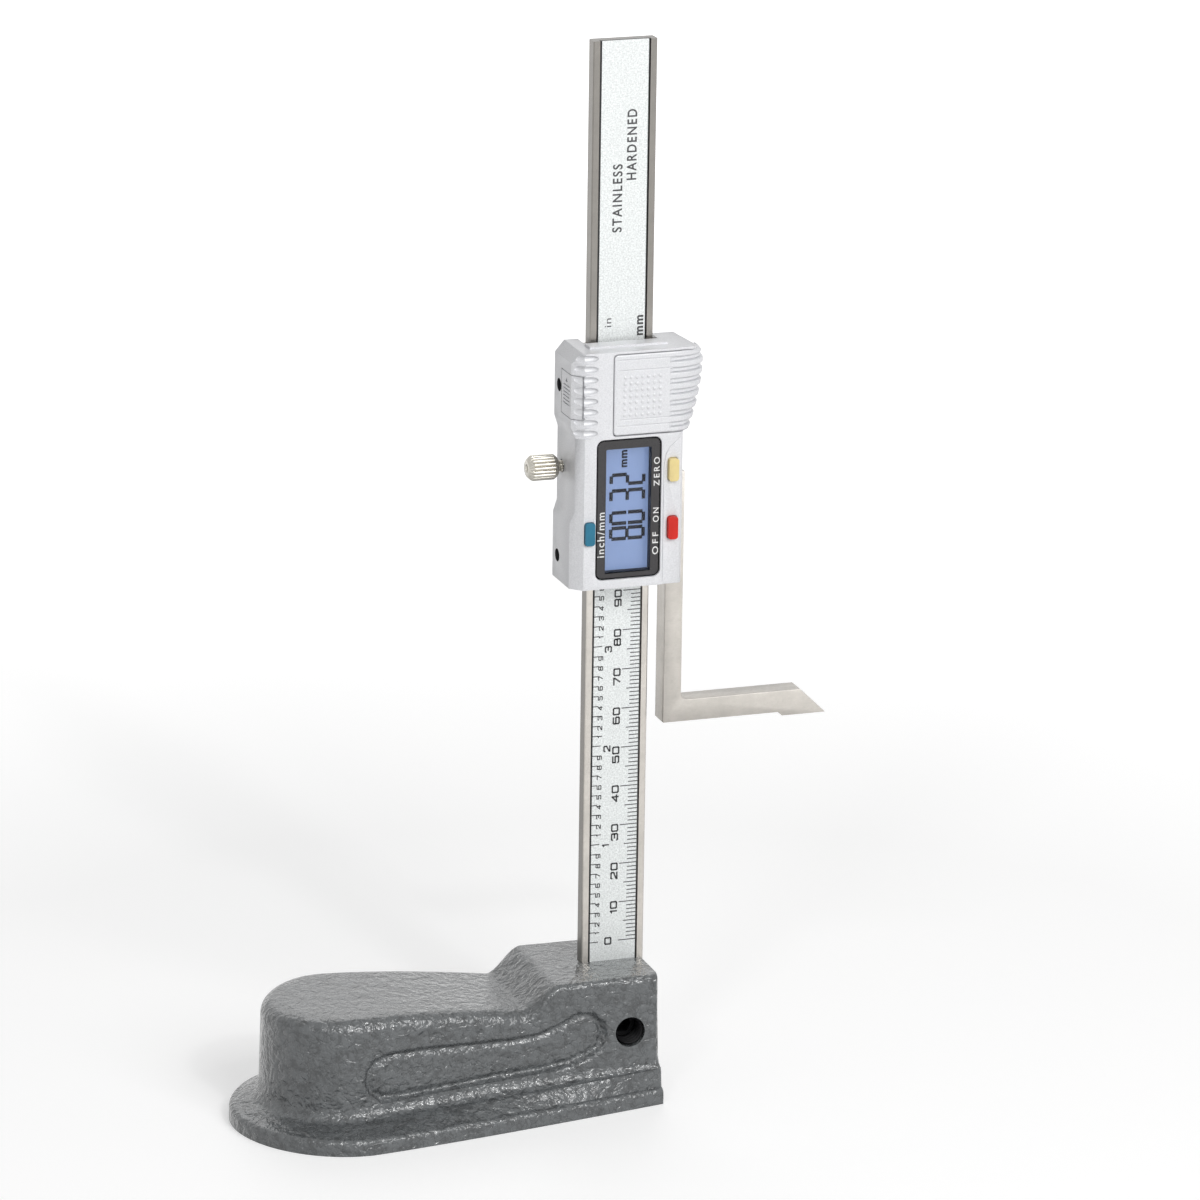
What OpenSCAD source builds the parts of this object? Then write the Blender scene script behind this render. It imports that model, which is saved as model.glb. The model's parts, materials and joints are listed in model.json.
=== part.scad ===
/* [Base casting] */
// How far the sole reaches to the left of the beam's centre line
base_reach = 97.3; // [88:0.1:110]
// Width of the sole at its widest
sole_w = 56.3; // [52:0.1:62]
// How far the sole's round end is set forward of the beam's middle plane
sole_shift = 2; // [0:0.1:3]
// Width of the sole at its flat right end
sole_end_w = 37; // [36.6:0.1:42]
// Height of the block that holds the beam
block_h = 32.7; // [30:0.1:38]
// Height of the palm deck at its left end, without its crown
deck_h = 28.5; // [27:0.1:29]
// How far the palm deck is crowned along its length
deck_rise = 2.4; // [1.5:0.1:3]
// Height of the palm deck at the foot of the ramp
deck_foot_h = 26.7; // [25.5:0.1:28]
// Thickness of the flange at its edge
flange_t = 4; // [3:0.1:5]
// Width of the raised body at the palm end
body_w = 39.2; // [36:0.1:42]
// Width of the block at the right end
block_w = 32.1; // [30:0.1:34]
// Depth of the shallow panel in each side
panel_depth = 1.2; // [0.5:0.1:1.8]
// Depth of the relief under the base
relief_depth = 1.2; // [0.5:0.1:2.5]
// Diameter of the set screw that clamps the beam
set_screw_d = 7.5; // [6:0.1:8]
// Height of the set screw above the sole
set_screw_z = 18.8; // [16:0.1:21]

/* [Beam] */
// Width of the beam
beam_w = 16; // [15:0.1:17]
// Thickness of the beam
beam_t = 3.5; // [3:0.1:4]
// Height of the beam's top above the sole
beam_top = 263.5; // [255:0.5:320]
// Height of the beam's foot above the sole
beam_foot = 6; // [4:0.1:9]
// Width of the milled channel in the beam's face
channel_w = 12.7; // [12:0.1:13]
// Depth of the milled channel
channel_depth = 1; // [0.8:0.05:1.2]
// Width of the scale label
label_w = 11.7; // [11:0.1:11.8]

/* [Slider] */
// Thickness of the housing's left side, over the frame
side_left_t = 2.2; // [2:0.1:3]
// Thickness of the housing's right side, over the frame
side_right_t = 1.1; // [1:0.1:2]
// Distance from the beam's middle plane to the housing's front
housing_front = 11.65; // [11.55:0.05:13]
// Distance from the beam's middle plane to the slider's back
slider_back = 3.5; // [3.4:0.05:4]
// Thickness of the housing's front wall
front_wall = 1.4; // [1.2:0.05:1.5]
// Running gap between the beam and the parts that slide on it
slide_gap = 0.05; // [0.03:0.01:0.1]
// Thickness of the gib strip
gib_t = 1.2; // [1:0.05:1.3]
// Diameter of the gib screws and of the lock screw's thread
gib_screw_d = 3; // [2.5:0.1:3.2]

/* [Scriber] */
// Height that the slider is set to, from the sole to the measuring face
tip_z = 92.15; // [0.15:0.05:149.95]
// Distance from the measuring face up to the housing
scriber_drop = 39.35; // [34:0.05:60]
// Length of the scriber's upright beside the housing
scriber_hold = 25.2; // [20:0.1:25.6]
// Width of the scriber's upright
scriber_w = 4.5; // [4:0.1:5]
// Thickness of the scriber from front to back
scriber_t = 6; // [5:0.1:6.2]
// Height of the scriber's arm
arm_h = 5.4; // [4.5:0.1:6.5]
// Distance from the beam's centre to the point of the scriber
tip_reach = 54.4; // [50:0.1:62]
// Height of the step under the point
tip_step = 1; // [0.6:0.05:1.4]

/* [Display and buttons] */
// Width of the part of the display that shows
view_w = 11.8; // [11:0.1:14]
// Height of the part of the display that shows
view_h = 30.9; // [29:0.1:40]
// Width of the window's printed border, both sides together
border_w = 4.45; // [4.2:0.05:6]
// Height of the window's printed border, both ends together
border_h = 3.8; // [3.6:0.1:6]
// Width of a button
button_w = 2.45; // [2.2:0.05:3]
// Height of a button
button_h = 5.6; // [5:0.1:7]
// How far a button stands out of the housing
button_proud = 0.8; // [0.65:0.05:1.2]
// Travel of a button
button_travel = 0.5; // [0.3:0.05:0.5]

/* [Covers and battery] */
// Height of the battery cover
cover_h = 19.85; // [19:0.05:20]
// Diameter of the button cell
cell_d = 11.6; // [11:0.1:11.8]
// Thickness of the button cell
cell_t = 5.4; // [5:0.1:5.4]
// Height of the data port cover
port_h = 10.6; // [9:0.1:11]
// Depth of a grip groove
groove_depth = 0.45; // [0.2:0.05:0.6]

/* [Lock screw] */
// Diameter of the knurled head
lock_head_d = 6.3; // [5.5:0.1:7.5]
// Length of the knurled head
lock_head_l = 7.5; // [7:0.1:10]

/* [Hidden] */

$fn = 48;
over = 1;
fit = 0.05;
seat_gap = 0.05;
part_gap = 0.15;

cast_color = "#4c5256";
steel_color = "#b9b6ae";
shell_color = "#c9cbcf";
dark_color = "#3c3d40";

// Base casting: stations along the plan outline, seen from the flat right end
base_end = beam_w / 2;
body_inset = 7.9;
round_x = -70;
ramp_top_x = -18.2;
ramp_foot_x = -27.6;
sole_round_l = base_reach + round_x;
body_round_l = base_reach - body_inset + round_x;
sole_taper_power = 1.25;
body_taper_power = 1.8;
sole_round_power = 1.92;
body_round_power = 2;
block_steps = 6;
ramp_steps = 8;
deck_steps = 9;
round_steps = 11;
flange_edge_r = 1.5;
flange_fillet_r = 3;
flange_foot_left = 5.2;
flange_foot_right = 9.6;
deck_edge_r = 3.4;
block_edge_r = 1.6;
wall_draft = 0.5;
flange_limit_share = 0.42;
flange_rise_share = 0.35;
slot_gap = 0.05;
set_screw_gap = 0.05;
set_screw_l = 8;
set_screw_socket_w = 4;
set_screw_socket_depth = 4;
set_screw_chamfer = 0.7;
relief_rim = 9;
relief_end_x = -16;
panel_corner_r = 2.2;
panel_outline_shares = [
  [0.671, 0.268], [0.702, 0.335], [0.714, 0.44], [0.708, 0.54], [0.685, 0.616], [0.648, 0.656],
  [0.559, 0.664], [0.437, 0.652], [0.306, 0.642], [0.24, 0.66], [0.19, 0.715], [0.14, 0.782],
  [0.098, 0.765], [0.064, 0.68], [0.056, 0.563], [0.071, 0.482], [0.108, 0.425], [0.165, 0.382],
  [0.231, 0.346], [0.354, 0.32], [0.436, 0.296], [0.517, 0.274], [0.599, 0.262]
];

function mix(a, b, share) = a + (b - a) * share;
function smooth(share) = share * share * (3 - 2 * share);
function clamp(v, low, high) = min(max(v, low), high);
function direction(a, b) = (b - a) / max(norm(b - a), fit / 10);

// Half width of the sole and of the raised body at a place along the straight part
function run_share(x) = clamp((x - round_x) / (base_end - round_x), 0, 1);
function sole_half(x) = mix(sole_w, sole_end_w, pow(run_share(x), sole_taper_power)) / 2;
function body_half(x) = mix(block_w, body_w, pow(1 - run_share(x), body_taper_power)) / 2;

// Height of the top: sloping deck, ramp and block
function ramp_share(x) = clamp((x - ramp_foot_x) / (ramp_top_x - ramp_foot_x), 0, 1);
function deck_share(x) = clamp((x + base_reach) / (ramp_foot_x + base_reach), 0, 1);
function crown_share(share) = 4 * share * (1 - share);
function deck_z(share) = mix(deck_h, deck_foot_h, smooth(share)) + deck_rise * crown_share(share);
function top_z(x) = mix(deck_z(deck_share(x)), block_h, smooth(ramp_share(x)));
function edge_r(x) = mix(deck_edge_r, block_edge_r, smooth(ramp_share(x)));
function foot_z(x) = mix(flange_foot_left, flange_foot_right, run_share(x));

// How far the sole is set forward at a place along it
function forward(x) = sole_shift * (1 - run_share(x));

// A station is its sole point, body point and centre point, front side
function straight_station(x) = [[x, -sole_half(x)], [x, -body_half(x)], [x, 0]];
function round_point(length, half, power, a) =
  [round_x - length * pow(sin(a), 2 / power), -half * pow(cos(a), 2 / power)];
function round_station(a) = [
  round_point(sole_round_l, sole_w / 2, sole_round_power, a),
  round_point(body_round_l, body_w / 2, body_round_power, a),
  [round_x, 0]
];
stations = concat(
  [for (i = [0:block_steps]) straight_station(mix(base_end, ramp_top_x, i / block_steps))],
  [for (i = [1:ramp_steps]) straight_station(mix(ramp_top_x, ramp_foot_x, i / ramp_steps))],
  [for (i = [1:deck_steps]) straight_station(mix(ramp_foot_x, round_x, i / deck_steps))],
  [for (i = [1:round_steps]) round_station(90 * i / round_steps)]
);

// One column of surface points, from the sole's edge up to the edge of the flat top
function column(s, inset, side) =
  let (
    sole = s[0] - [0, side * forward(s[0][0])],
    out_dir = direction(sole, s[1]),
    in_dir = direction(s[1], s[2]),
    body = s[1] + in_dir * inset,
    flange = norm(s[1] - sole),
    edge = min(flange_edge_r, flange * flange_limit_share),
    fillet = min(flange_fillet_r, flange * flange_limit_share),
    x = s[1][0],
    foot = foot_z(x),
    root = mix(flange_t, foot, 1 - fillet / flange * flange_rise_share),
    top = top_z(x),
    r = edge_r(x),
    crown = body + in_dir * wall_draft
  )
  concat(
    [[sole[0], sole[1], 0]],
    [for (a = [0, 45, 90]) let (p = sole + out_dir * edge * (1 - cos(a)))
      [p[0], p[1], flange_t - edge * (1 - sin(a))]],
    [for (a = [0, 30, 60, 90]) let (p = s[1] - out_dir * fillet * (1 - sin(a)) + in_dir * inset)
      [p[0], p[1], mix(root, foot + fillet, 1 - cos(a))]],
    [for (a = [0, 22.5, 45, 67.5, 90]) let (p = crown + in_dir * r * (1 - cos(a)))
      [p[0], p[1], top - r * (1 - sin(a))]]
  );

function mirrored(points) = [for (p = points) [p[0], -p[1], p[2]]];

// The casting's outer form: columns round the outline, closed by a sole, a top and an end
module base_form(inset) {
  front = [for (s = stations) column(s, inset, 1)];
  last = len(front) - 1;
  back = [for (i = [1:last]) mirrored(column(stations[last - i], inset, -1))];
  columns = concat(front, back);
  n = len(columns);
  m = len(columns[0]);
  points = [for (c = columns, p = c) p];
  sides = [for (i = [0:n - 2], j = [0:m - 2]) each [
    [i * m + j, (i + 1) * m + j + 1, i * m + j + 1],
    [i * m + j, (i + 1) * m + j, (i + 1) * m + j + 1]
  ]];
  top = [for (i = [0:last - 1]) let (a = i * m + m - 1, b = (n - 1 - i) * m + m - 1) each [
    [a, b - m, b],
    [a, a + m, b - m]
  ]];
  sole = [[for (i = [0:n - 1]) (n - 1 - i) * m]];
  end_face = [concat([for (j = [0:m - 1]) j], [for (j = [0:m - 1]) n * m - 1 - j])];
  polyhedron(points = points, faces = concat(sides, [for (f = top) if (f[0] != f[1]
    && f[1] != f[2]) f], sole, end_face), convexity = 6);
}

// Underside relief, which leaves a rim and the block's foot to stand on
module sole_relief() {
  front = [for (s = stations) if (s[0][0] <= relief_end_x) s[0]];
  last = len(front) - 1;
  translate([0, 0, -over])
    linear_extrude(relief_depth + over)
      offset(delta = -relief_rim)
        polygon(concat(
          [for (p = front) [p[0], p[1] - forward(p[0])]],
          [for (i = [1:last]) let (p = front[last - i]) [p[0], -p[1] - forward(p[0])]]
        ));
}

module panel_outline() {
  offset(r = panel_corner_r)
    offset(delta = -panel_corner_r)
      polygon([for (s = panel_outline_shares) [-s[0] * base_reach, s[1] * block_h]]);
}

module base_casting() {
  color(cast_color)
    difference() {
      base_form(0);
      difference() {
        translate([0, sole_w, 0])
          rotate([90, 0, 0])
            linear_extrude(2 * sole_w)
              panel_outline();
        base_form(panel_depth);
      }
      sole_relief();
      translate([-base_end - slot_gap, -beam_t / 2 - slot_gap, beam_foot])
        cube([beam_w + slot_gap + over, beam_t + 2 * slot_gap, block_h]);
      translate([0, 0, set_screw_z])
        rotate([90, 0, 0])
          cylinder(d = set_screw_d + 2 * set_screw_gap, h = sole_w);
    }
}

module set_screw() {
  color(dark_color)
    translate([0, -beam_t / 2, set_screw_z])
      rotate([90, 0, 0])
        difference() {
          union() {
            cylinder(d = set_screw_d, h = set_screw_l - set_screw_chamfer);
            translate([0, 0, set_screw_l - set_screw_chamfer])
              cylinder(d1 = set_screw_d, d2 = set_screw_d - 2 * set_screw_chamfer,
                       h = set_screw_chamfer);
          }
          translate([0, 0, set_screw_l - set_screw_socket_depth])
            cylinder(d = set_screw_socket_w / cos(30), h = set_screw_socket_depth + over, $fn = 6);
        }
}

// Beam with its milled channel, sensor strip and scale label
beam_l = beam_top - beam_foot;
beam_chamfer = 0.25;
strip_play = 0.2;
label_t = 0.2;
strip_t = channel_depth - label_t - seat_gap;
channel_y = -beam_t / 2 + channel_depth;

function beam_side(s) = [
  [s * channel_w / 2, channel_y],
  [s * channel_w / 2, -beam_t / 2],
  [s * (beam_w / 2 - beam_chamfer), -beam_t / 2],
  [s * beam_w / 2, -beam_t / 2 + beam_chamfer],
  [s * beam_w / 2, beam_t / 2 - beam_chamfer],
  [s * (beam_w / 2 - beam_chamfer), beam_t / 2]
];

module beam() {
  right = beam_side(1);
  left = beam_side(-1);
  color(steel_color)
    translate([0, 0, beam_foot])
      linear_extrude(beam_l)
        polygon(concat(right, [for (i = [0:len(left) - 1]) left[len(left) - 1 - i]]));
}

module sensor_strip() {
  color("#2f5f46")
    translate([-channel_w / 2 + strip_play, channel_y - strip_t, beam_foot])
      cube([channel_w - 2 * strip_play, strip_t, beam_l]);
}

module scale_label() {
  color("#c4c8c9")
    translate([-label_w / 2, channel_y - strip_t - label_t, beam_foot])
      cube([label_w, label_t, beam_l]);
}

// Layout of the slider: the scriber sets its height
slider_z = tip_z + scriber_drop;
scriber_top = slider_z + scriber_hold;

// Layout of the housing's face: window, buttons beside it and battery cover above it
window_w = view_w + border_w;
window_h = view_h + border_h;
window_left = 9.15;
window_right = window_w - window_left;
window_x = (window_right - window_left) / 2;
window_drop = 2.3;
window_z = slider_z + window_drop + window_h / 2;
button_space_left = 0.5;
button_space_right = 1.87;
button_edge_left = 2.9;
button_edge_right = 1.68;
button_left_x = -(window_left + button_space_left + button_w / 2);
button_right_x = window_right + button_space_right + button_w / 2;
housing_left = button_w / 2 + button_edge_left - button_left_x;
housing_right = button_right_x + button_w / 2 + button_edge_right;
cover_window_space = 0.95;
brow_margin = 0.8;
housing_h = window_drop + window_h + cover_window_space + cover_h + brow_margin;
shell_top = slider_z + housing_h;
button_zero_rise = 28.6;
button_low_rise = 14.1;
button_zero_z = slider_z + button_zero_rise;
button_power_z = slider_z + button_low_rise;
button_unit_z = button_power_z;

// Slider frame: a steel channel on the beam, bridged over the beam's face at both ends
frame_left = housing_left - side_left_t;
frame_right = housing_right - side_right_t;
frame_inset = 1.1;
frame_z = slider_z + frame_inset;
frame_h = housing_h - 2 * frame_inset;
frame_top = frame_z + frame_h;
bridge_h = 4;
bridge_t = 1.6;
channel_left = beam_w / 2 + slide_gap + gib_t;
channel_right = beam_w / 2 + slide_gap;
beam_half = beam_t / 2 + slide_gap;
board_beam_gap = 0.3;
board_back = beam_t / 2 + board_beam_gap;
bridge_front = beam_half + bridge_t;
lock_rise = 28.25;
lock_z = slider_z + lock_rise;
gib_screw_rise = 6;
gib_screw_drop = 10.1;
gib_screw_zs = [slider_z + gib_screw_rise, shell_top - gib_screw_drop];
shell_screw_d = 2;
shell_screw_head_d = 3.6;
shell_screw_head_h = 0.9;
shell_screw_l = 7.5;
shell_screw_xs = [-(frame_left + channel_left) / 2, (frame_right + channel_right) / 2];
shell_screw_zs = [frame_z + bridge_h / 2, frame_top - bridge_h / 2];
scriber_screw_d = 3;
scriber_screw_head_d = 4.4;
scriber_screw_head_h = 1.2;
scriber_screw_drops = [15.5, 6.5];
scriber_screw_zs = [for (d = scriber_screw_drops) scriber_top - d];
scriber_screw_y = 0.5;
scriber_screw_wall = 0.75;
scriber_screw_depth = frame_right - channel_right - scriber_screw_wall;

module shell_screw_places() {
  for (x = shell_screw_xs, z = shell_screw_zs)
    translate([x, slider_back, z])
      rotate([90, 0, 0])
        children();
}

module slider_frame() {
  color(steel_color)
    difference() {
      translate([-frame_left, -bridge_front, frame_z])
        cube([frame_left + frame_right, bridge_front + slider_back, frame_h]);
      translate([-channel_left, -beam_half, frame_z - over])
        cube([channel_left + channel_right, 2 * beam_half, frame_h + 2 * over]);
      translate([-frame_left - over, -bridge_front - over, frame_z + bridge_h])
        cube([frame_left + frame_right + 2 * over, bridge_front - board_back + over,
              frame_h - 2 * bridge_h]);
      translate([-channel_left, -bridge_front, frame_z + bridge_h])
        cube([channel_left + channel_right, bridge_front, frame_h - 2 * bridge_h]);
      for (z = concat(gib_screw_zs, lock_z))
        translate([-frame_left - over, 0, z])
          rotate([0, 90, 0])
            cylinder(d = gib_screw_d + 2 * fit, h = frame_left + over - beam_w / 2);
      for (z = scriber_screw_zs)
        translate([frame_right - scriber_screw_depth, scriber_screw_y, z])
          rotate([0, 90, 0])
            cylinder(d = scriber_screw_d + 2 * fit, h = scriber_screw_depth + over);
      shell_screw_places() {
        translate([0, 0, -over])
          cylinder(d = shell_screw_head_d + 2 * fit, h = shell_screw_head_h + over);
        cylinder(d = shell_screw_d + 2 * fit, h = slider_back + bridge_front + over);
      }
    }
}

gib_end_gap = 1.5;
gib_edge_gap = 0.15;

module gib_strip() {
  color("#b08d4c")
    translate([-channel_left + fit, -beam_t / 2 + gib_edge_gap, frame_z + gib_end_gap])
      cube([gib_t - fit, beam_t - 2 * gib_edge_gap, frame_h - 2 * gib_end_gap]);
}

gib_screw_inset = 0.4;
gib_screw_slot_w = 0.5;
gib_screw_slot_depth = 0.8;

module gib_screws() {
  color(steel_color)
    for (z = gib_screw_zs)
      translate([-channel_left + fit, 0, z])
        rotate([0, -90, 0])
          difference() {
            cylinder(d = gib_screw_d, h = frame_left - channel_left - gib_screw_inset);
            translate([-gib_screw_d, -gib_screw_slot_w / 2,
                       frame_left - channel_left - gib_screw_inset - gib_screw_slot_depth])
              cube([2 * gib_screw_d, gib_screw_slot_w, gib_screw_slot_depth + over]);
          }
}

// Scriber: an L-shaped bar with a stepped, sloping point
scriber_left = frame_right + seat_gap / 2;
scriber_right = scriber_left + scriber_w;
scriber_front = slider_back - scriber_t;
arm_z = tip_z + tip_step;
arm_top = arm_z + arm_h;
elbow_r = 1.9;
tip_top_back = 6.6;
tip_face_l = 11.3;
step_slope_l = 1.2;
elbow_steps = 6;

module scriber() {
  color(steel_color)
    difference() {
      translate([0, slider_back, 0])
        rotate([90, 0, 0])
          linear_extrude(scriber_t)
            polygon(concat(
              [
                [scriber_left, scriber_top],
                [scriber_left, arm_z],
                [tip_reach - tip_face_l - step_slope_l, arm_z],
                [tip_reach - tip_face_l, tip_z],
                [tip_reach, tip_z],
                [tip_reach - tip_top_back, arm_top]
              ],
              [for (i = [0:elbow_steps]) let (a = 90 * i / elbow_steps)
                [scriber_right + elbow_r * (1 - sin(a)), arm_top + elbow_r * (1 - cos(a))]],
              [[scriber_right, scriber_top]]
            ));
      for (z = scriber_screw_zs)
        translate([scriber_left - over, scriber_screw_y, z])
          rotate([0, 90, 0]) {
            cylinder(d = scriber_screw_d + 2 * fit, h = scriber_w + 2 * over);
            translate([0, 0, over + scriber_w - scriber_screw_head_h])
              cylinder(d = scriber_screw_head_d + 2 * fit, h = scriber_screw_head_h + over);
          }
    }
}

scriber_screw_socket_w = 2;
scriber_screw_tip_gap = 0.3;

module scriber_screws() {
  shank_l = scriber_w - scriber_screw_head_h + scriber_screw_depth - scriber_screw_tip_gap;
  color(dark_color)
    for (z = scriber_screw_zs)
      translate([scriber_right - scriber_screw_head_h - shank_l, scriber_screw_y, z])
        rotate([0, 90, 0])
          difference() {
            union() {
              cylinder(d = scriber_screw_d, h = shank_l);
              translate([0, 0, shank_l])
                cylinder(d = scriber_screw_head_d, h = scriber_screw_head_h);
            }
            translate([0, 0, shank_l])
              cylinder(d = scriber_screw_socket_w / cos(30), h = scriber_screw_head_h + over,
                       $fn = 6);
          }
}

// Housing shell
bevel_x = 2.7;
bevel_y = 2.8;
corner_cut_x = 2.3;
corner_cut_z = 2.7;
shell_end_wall = frame_inset - fit;
cavity_left = frame_left + fit;
cavity_right = frame_right + fit;
cavity_front = housing_front - front_wall;
cavity_bevel = 0.7;
strip_x = 7.85;
strip_drop = 0.3;
front_corner_r = 2;
front_corner_steps = 5;
waist_depth = 0.9;
waist_h = 18.4;
waist_slope_h = 2.8;
pad_side = 0.6;
pad_depth = 3.85;
pad_h = 0.55;
notch_half = channel_left + fit;
notch_front = bridge_front + fit;
pad_x = notch_half + pad_side;
pad_front = notch_front + pad_depth;

// Battery bay and cover
bay_z = shell_top - brow_margin - cover_h;
bay_left = 5.1;
cover_t = 1.2;
cover_gap = 0.25;
cover_floor = housing_front - cover_t;
brow_flare = 1.2;
brow_reach = 1.9;
brow_back_x = housing_right + brow_reach;
cover_overhang = 5.5;
cover_end_x = housing_right + cover_overhang;
cell_x = 2.7;
cell_z = bay_z + cover_h / 2;
cell_gap = 0.3;
cell_cover_gap = 0.25;
cell_front = cover_floor - cell_cover_gap;
contact_t = 0.2;
bay_floor = cell_front - cell_t - contact_t;
bay_block_left = 5.6;
rail_inset = 1.2;
rail_w = 1;
rail_depth = 1.2;
rail_tongue = 0.5;
rail_tongue_t = 0.5;
rail_x = -3.6;

// Window, display and buttons
window_r = 1.7;
window_recess = 0.3;
window_t = 1;
window_back = housing_front - window_recess - window_t;
view_shift = 0.13;
view_drop = 0.5;
view_x = window_x + view_shift;
view_z = window_z - view_drop;
ledge_w = 0.55;
ledge_t = 1.15;
ledge_back = window_back - ledge_t;
rim_w = 0.3;
lcd_frame_t = 1.95;
lcd_front = window_back - lcd_frame_t;
lcd_t = 2.8;
lcd_back = lcd_front - lcd_t;
lcd_margin = 1.35;
backlight_t = 1.2;
board_t = 1;
board_front = board_back + board_t;
button_r = 0.7;
button_gap = 0.15;
pad_rubber_d = 3.4;
pad_rubber_h = 1.6;
button_pad_gap = 0.3;
button_back = board_front + pad_rubber_h + button_travel + button_pad_gap;
button_flange_t = 0.6;
button_flange_h = 0.8;

// Data port
port_drop = 11;
port_z = shell_top - port_drop;
port_back = 1.85;
port_t = 0.6;
port_front_x = 12.9;
port_gap = 0.2;
port_open_h = 7.6;
port_open_front = 7.8;

function corner_arc(cx, cy, r, steps) =
  [for (i = [0:steps]) let (a = 90 * i / steps) [cx + r * sin(a), cy - r * cos(a)]];

// Plan of the housing: flat front, bevelled left edge, rounded right edge
module housing_plan() {
  polygon(concat(
    [
      [-housing_left, slider_back],
      [-housing_left, -(housing_front - bevel_y)],
      [-(housing_left - bevel_x), -housing_front],
      [strip_x, -housing_front]
    ],
    corner_arc(housing_right - front_corner_r, -housing_front + front_corner_r,
               front_corner_r, front_corner_steps),
    [[housing_right, slider_back]]
  ));
}

module cavity_plan() {
  polygon([
    [-cavity_left, slider_back + over],
    [-cavity_left, -(cavity_front - cavity_bevel)],
    [-(cavity_left - cavity_bevel), -cavity_front],
    [cavity_right, -cavity_front],
    [cavity_right, slider_back + over]
  ]);
}

strip_line_shares = [
  [0, 0.778], [0.046, 0.852], [0.175, 0.906], [0.444, 0.959], [0.808, 0.986], [1, 0.993]
];

// The sunk strip that the two right buttons stand on, bounded by a curved step
module button_strip() {
  strip_h = bay_z - slider_z;
  strip_w = housing_right - strip_x;
  rotate([90, 0, 0])
    translate([0, 0, housing_front - strip_drop])
      linear_extrude(strip_drop + over)
        polygon(concat(
          [[housing_right + over, slider_z - over], [strip_x, slider_z - over]],
          [for (s = strip_line_shares) [strip_x + s[0] * strip_w, slider_z + s[1] * strip_h]],
          [[housing_right + over, slider_z + strip_line_shares[5][1] * strip_h]]
        ));
}

// Plate with rounded corners, upright, facing forward
module upright_plate(w, h, r, front, back) {
  translate([0, -back, 0])
    rotate([90, 0, 0])
      linear_extrude(front - back) {
        square([w - 2 * r, h], center = true);
        square([w, h - 2 * r], center = true);
        for (x = [-1, 1], z = [-1, 1])
          translate([x * (w / 2 - r), z * (h / 2 - r)])
            circle(r);
      }
}

module at_window() {
  translate([window_x, 0, window_z])
    children();
}

module at_view() {
  translate([view_x, 0, view_z])
    children();
}

brow_t = brow_margin - cover_gap;

// The brow is the housing's top right part, which the battery cover's end wraps
module brow() {
  translate([0, slider_back, 0])
    rotate([90, 0, 0])
      linear_extrude(slider_back + cover_floor - part_gap)
        polygon([
          [0, bay_z - brow_t],
          [housing_right, bay_z - brow_t],
          [brow_back_x, shell_top - brow_t],
          [brow_back_x, shell_top],
          [0, shell_top]
        ]);
  translate([0, 0, shell_top - brow_t])
    linear_extrude(brow_t)
      polygon([
        [0, slider_back],
        [brow_back_x, slider_back],
        [brow_back_x + brow_flare, -(cover_floor - brow_t)],
        [brow_back_x, -housing_front + strip_drop],
        [strip_x, -housing_front],
        [0, -housing_front]
      ]);
}

// The slot that the beam runs in, open at the back so that the shell goes on from the front
module beam_notch() {
  translate([-notch_half, -notch_front, slider_z - over])
    cube([2 * notch_half, notch_front + slider_back + over, housing_h + pad_h + 2 * over]);
}

module side_cuts() {
  translate([0, slider_back + over, 0])
    rotate([90, 0, 0])
      linear_extrude(slider_back + housing_front + 2 * over) {
        polygon([
          [-housing_left - over, shell_top - corner_cut_z - over * corner_cut_z / corner_cut_x],
          [-housing_left - over, shell_top + over],
          [-housing_left + corner_cut_x + over * corner_cut_x / corner_cut_z, shell_top + over]
        ]);
        polygon([
          [-housing_left - over, lock_z - waist_h / 2 - waist_slope_h],
          [-housing_left, lock_z - waist_h / 2 - waist_slope_h],
          [-housing_left + waist_depth, lock_z - waist_h / 2],
          [-housing_left + waist_depth, lock_z + waist_h / 2],
          [-housing_left, lock_z + waist_h / 2 + waist_slope_h],
          [-housing_left - over, lock_z + waist_h / 2 + waist_slope_h]
        ]);
      }
}

flute_count = 8;
flute_pitch = 2.63;
flute_h = 1.5;
flute_drop = 1.8;
flute_z = shell_top - flute_drop;
flute_reach = 3.3;
flute_tail = 1.75;

// Grip flutes across the bevelled left edge
module flutes() {
  edge_x = -(housing_left - bevel_x);
  for (i = [0:flute_count - 1])
    translate([0, 0, flute_z - i * flute_pitch - flute_h / 2])
      linear_extrude(flute_h)
        polygon([
          [edge_x + flute_reach, -housing_front - over],
          [edge_x + flute_reach, -housing_front],
          [edge_x + groove_depth, -housing_front + groove_depth],
          [edge_x - flute_tail, -housing_front + flute_tail * bevel_y / bevel_x],
          [edge_x - flute_tail - over, -housing_front - over]
        ]);
}

// Outer and inner line of the port cover, from the side wall round the bevel
function port_line(depth) = [
  [-(housing_left - depth), -(housing_front - bevel_y - depth * 0.4)],
  [-(port_front_x - depth * 0.4), -(housing_front - (port_front_x - housing_left + bevel_x)
    * bevel_y / bevel_x - depth)]
];

module port_profile(depth, grow) {
  outer = port_line(0);
  inner = port_line(depth);
  polygon([
    [outer[0][0], -port_back + grow],
    outer[0],
    outer[1],
    inner[1] + [grow, 0],
    inner[0],
    [inner[0][0], -port_back + grow]
  ]);
}

module port_recess() {
  outer = port_line(0);
  inner = port_line(port_t + part_gap);
  translate([0, 0, port_z - port_h / 2 - port_gap])
    linear_extrude(port_h + 2 * port_gap)
      polygon([
        [outer[0][0] - over, -port_back + port_gap],
        [outer[0][0] - over, outer[1][1] - over],
        [inner[1][0] + port_gap, outer[1][1] - over],
        [inner[1][0] + port_gap, inner[1][1]],
        inner[0],
        [inner[0][0], -port_back + port_gap]
      ]);
  translate([-housing_left - over, -port_open_front, port_z - port_open_h / 2])
    cube([housing_left + over - cavity_left + over, port_open_front - board_front,
          port_open_h]);
}

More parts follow.
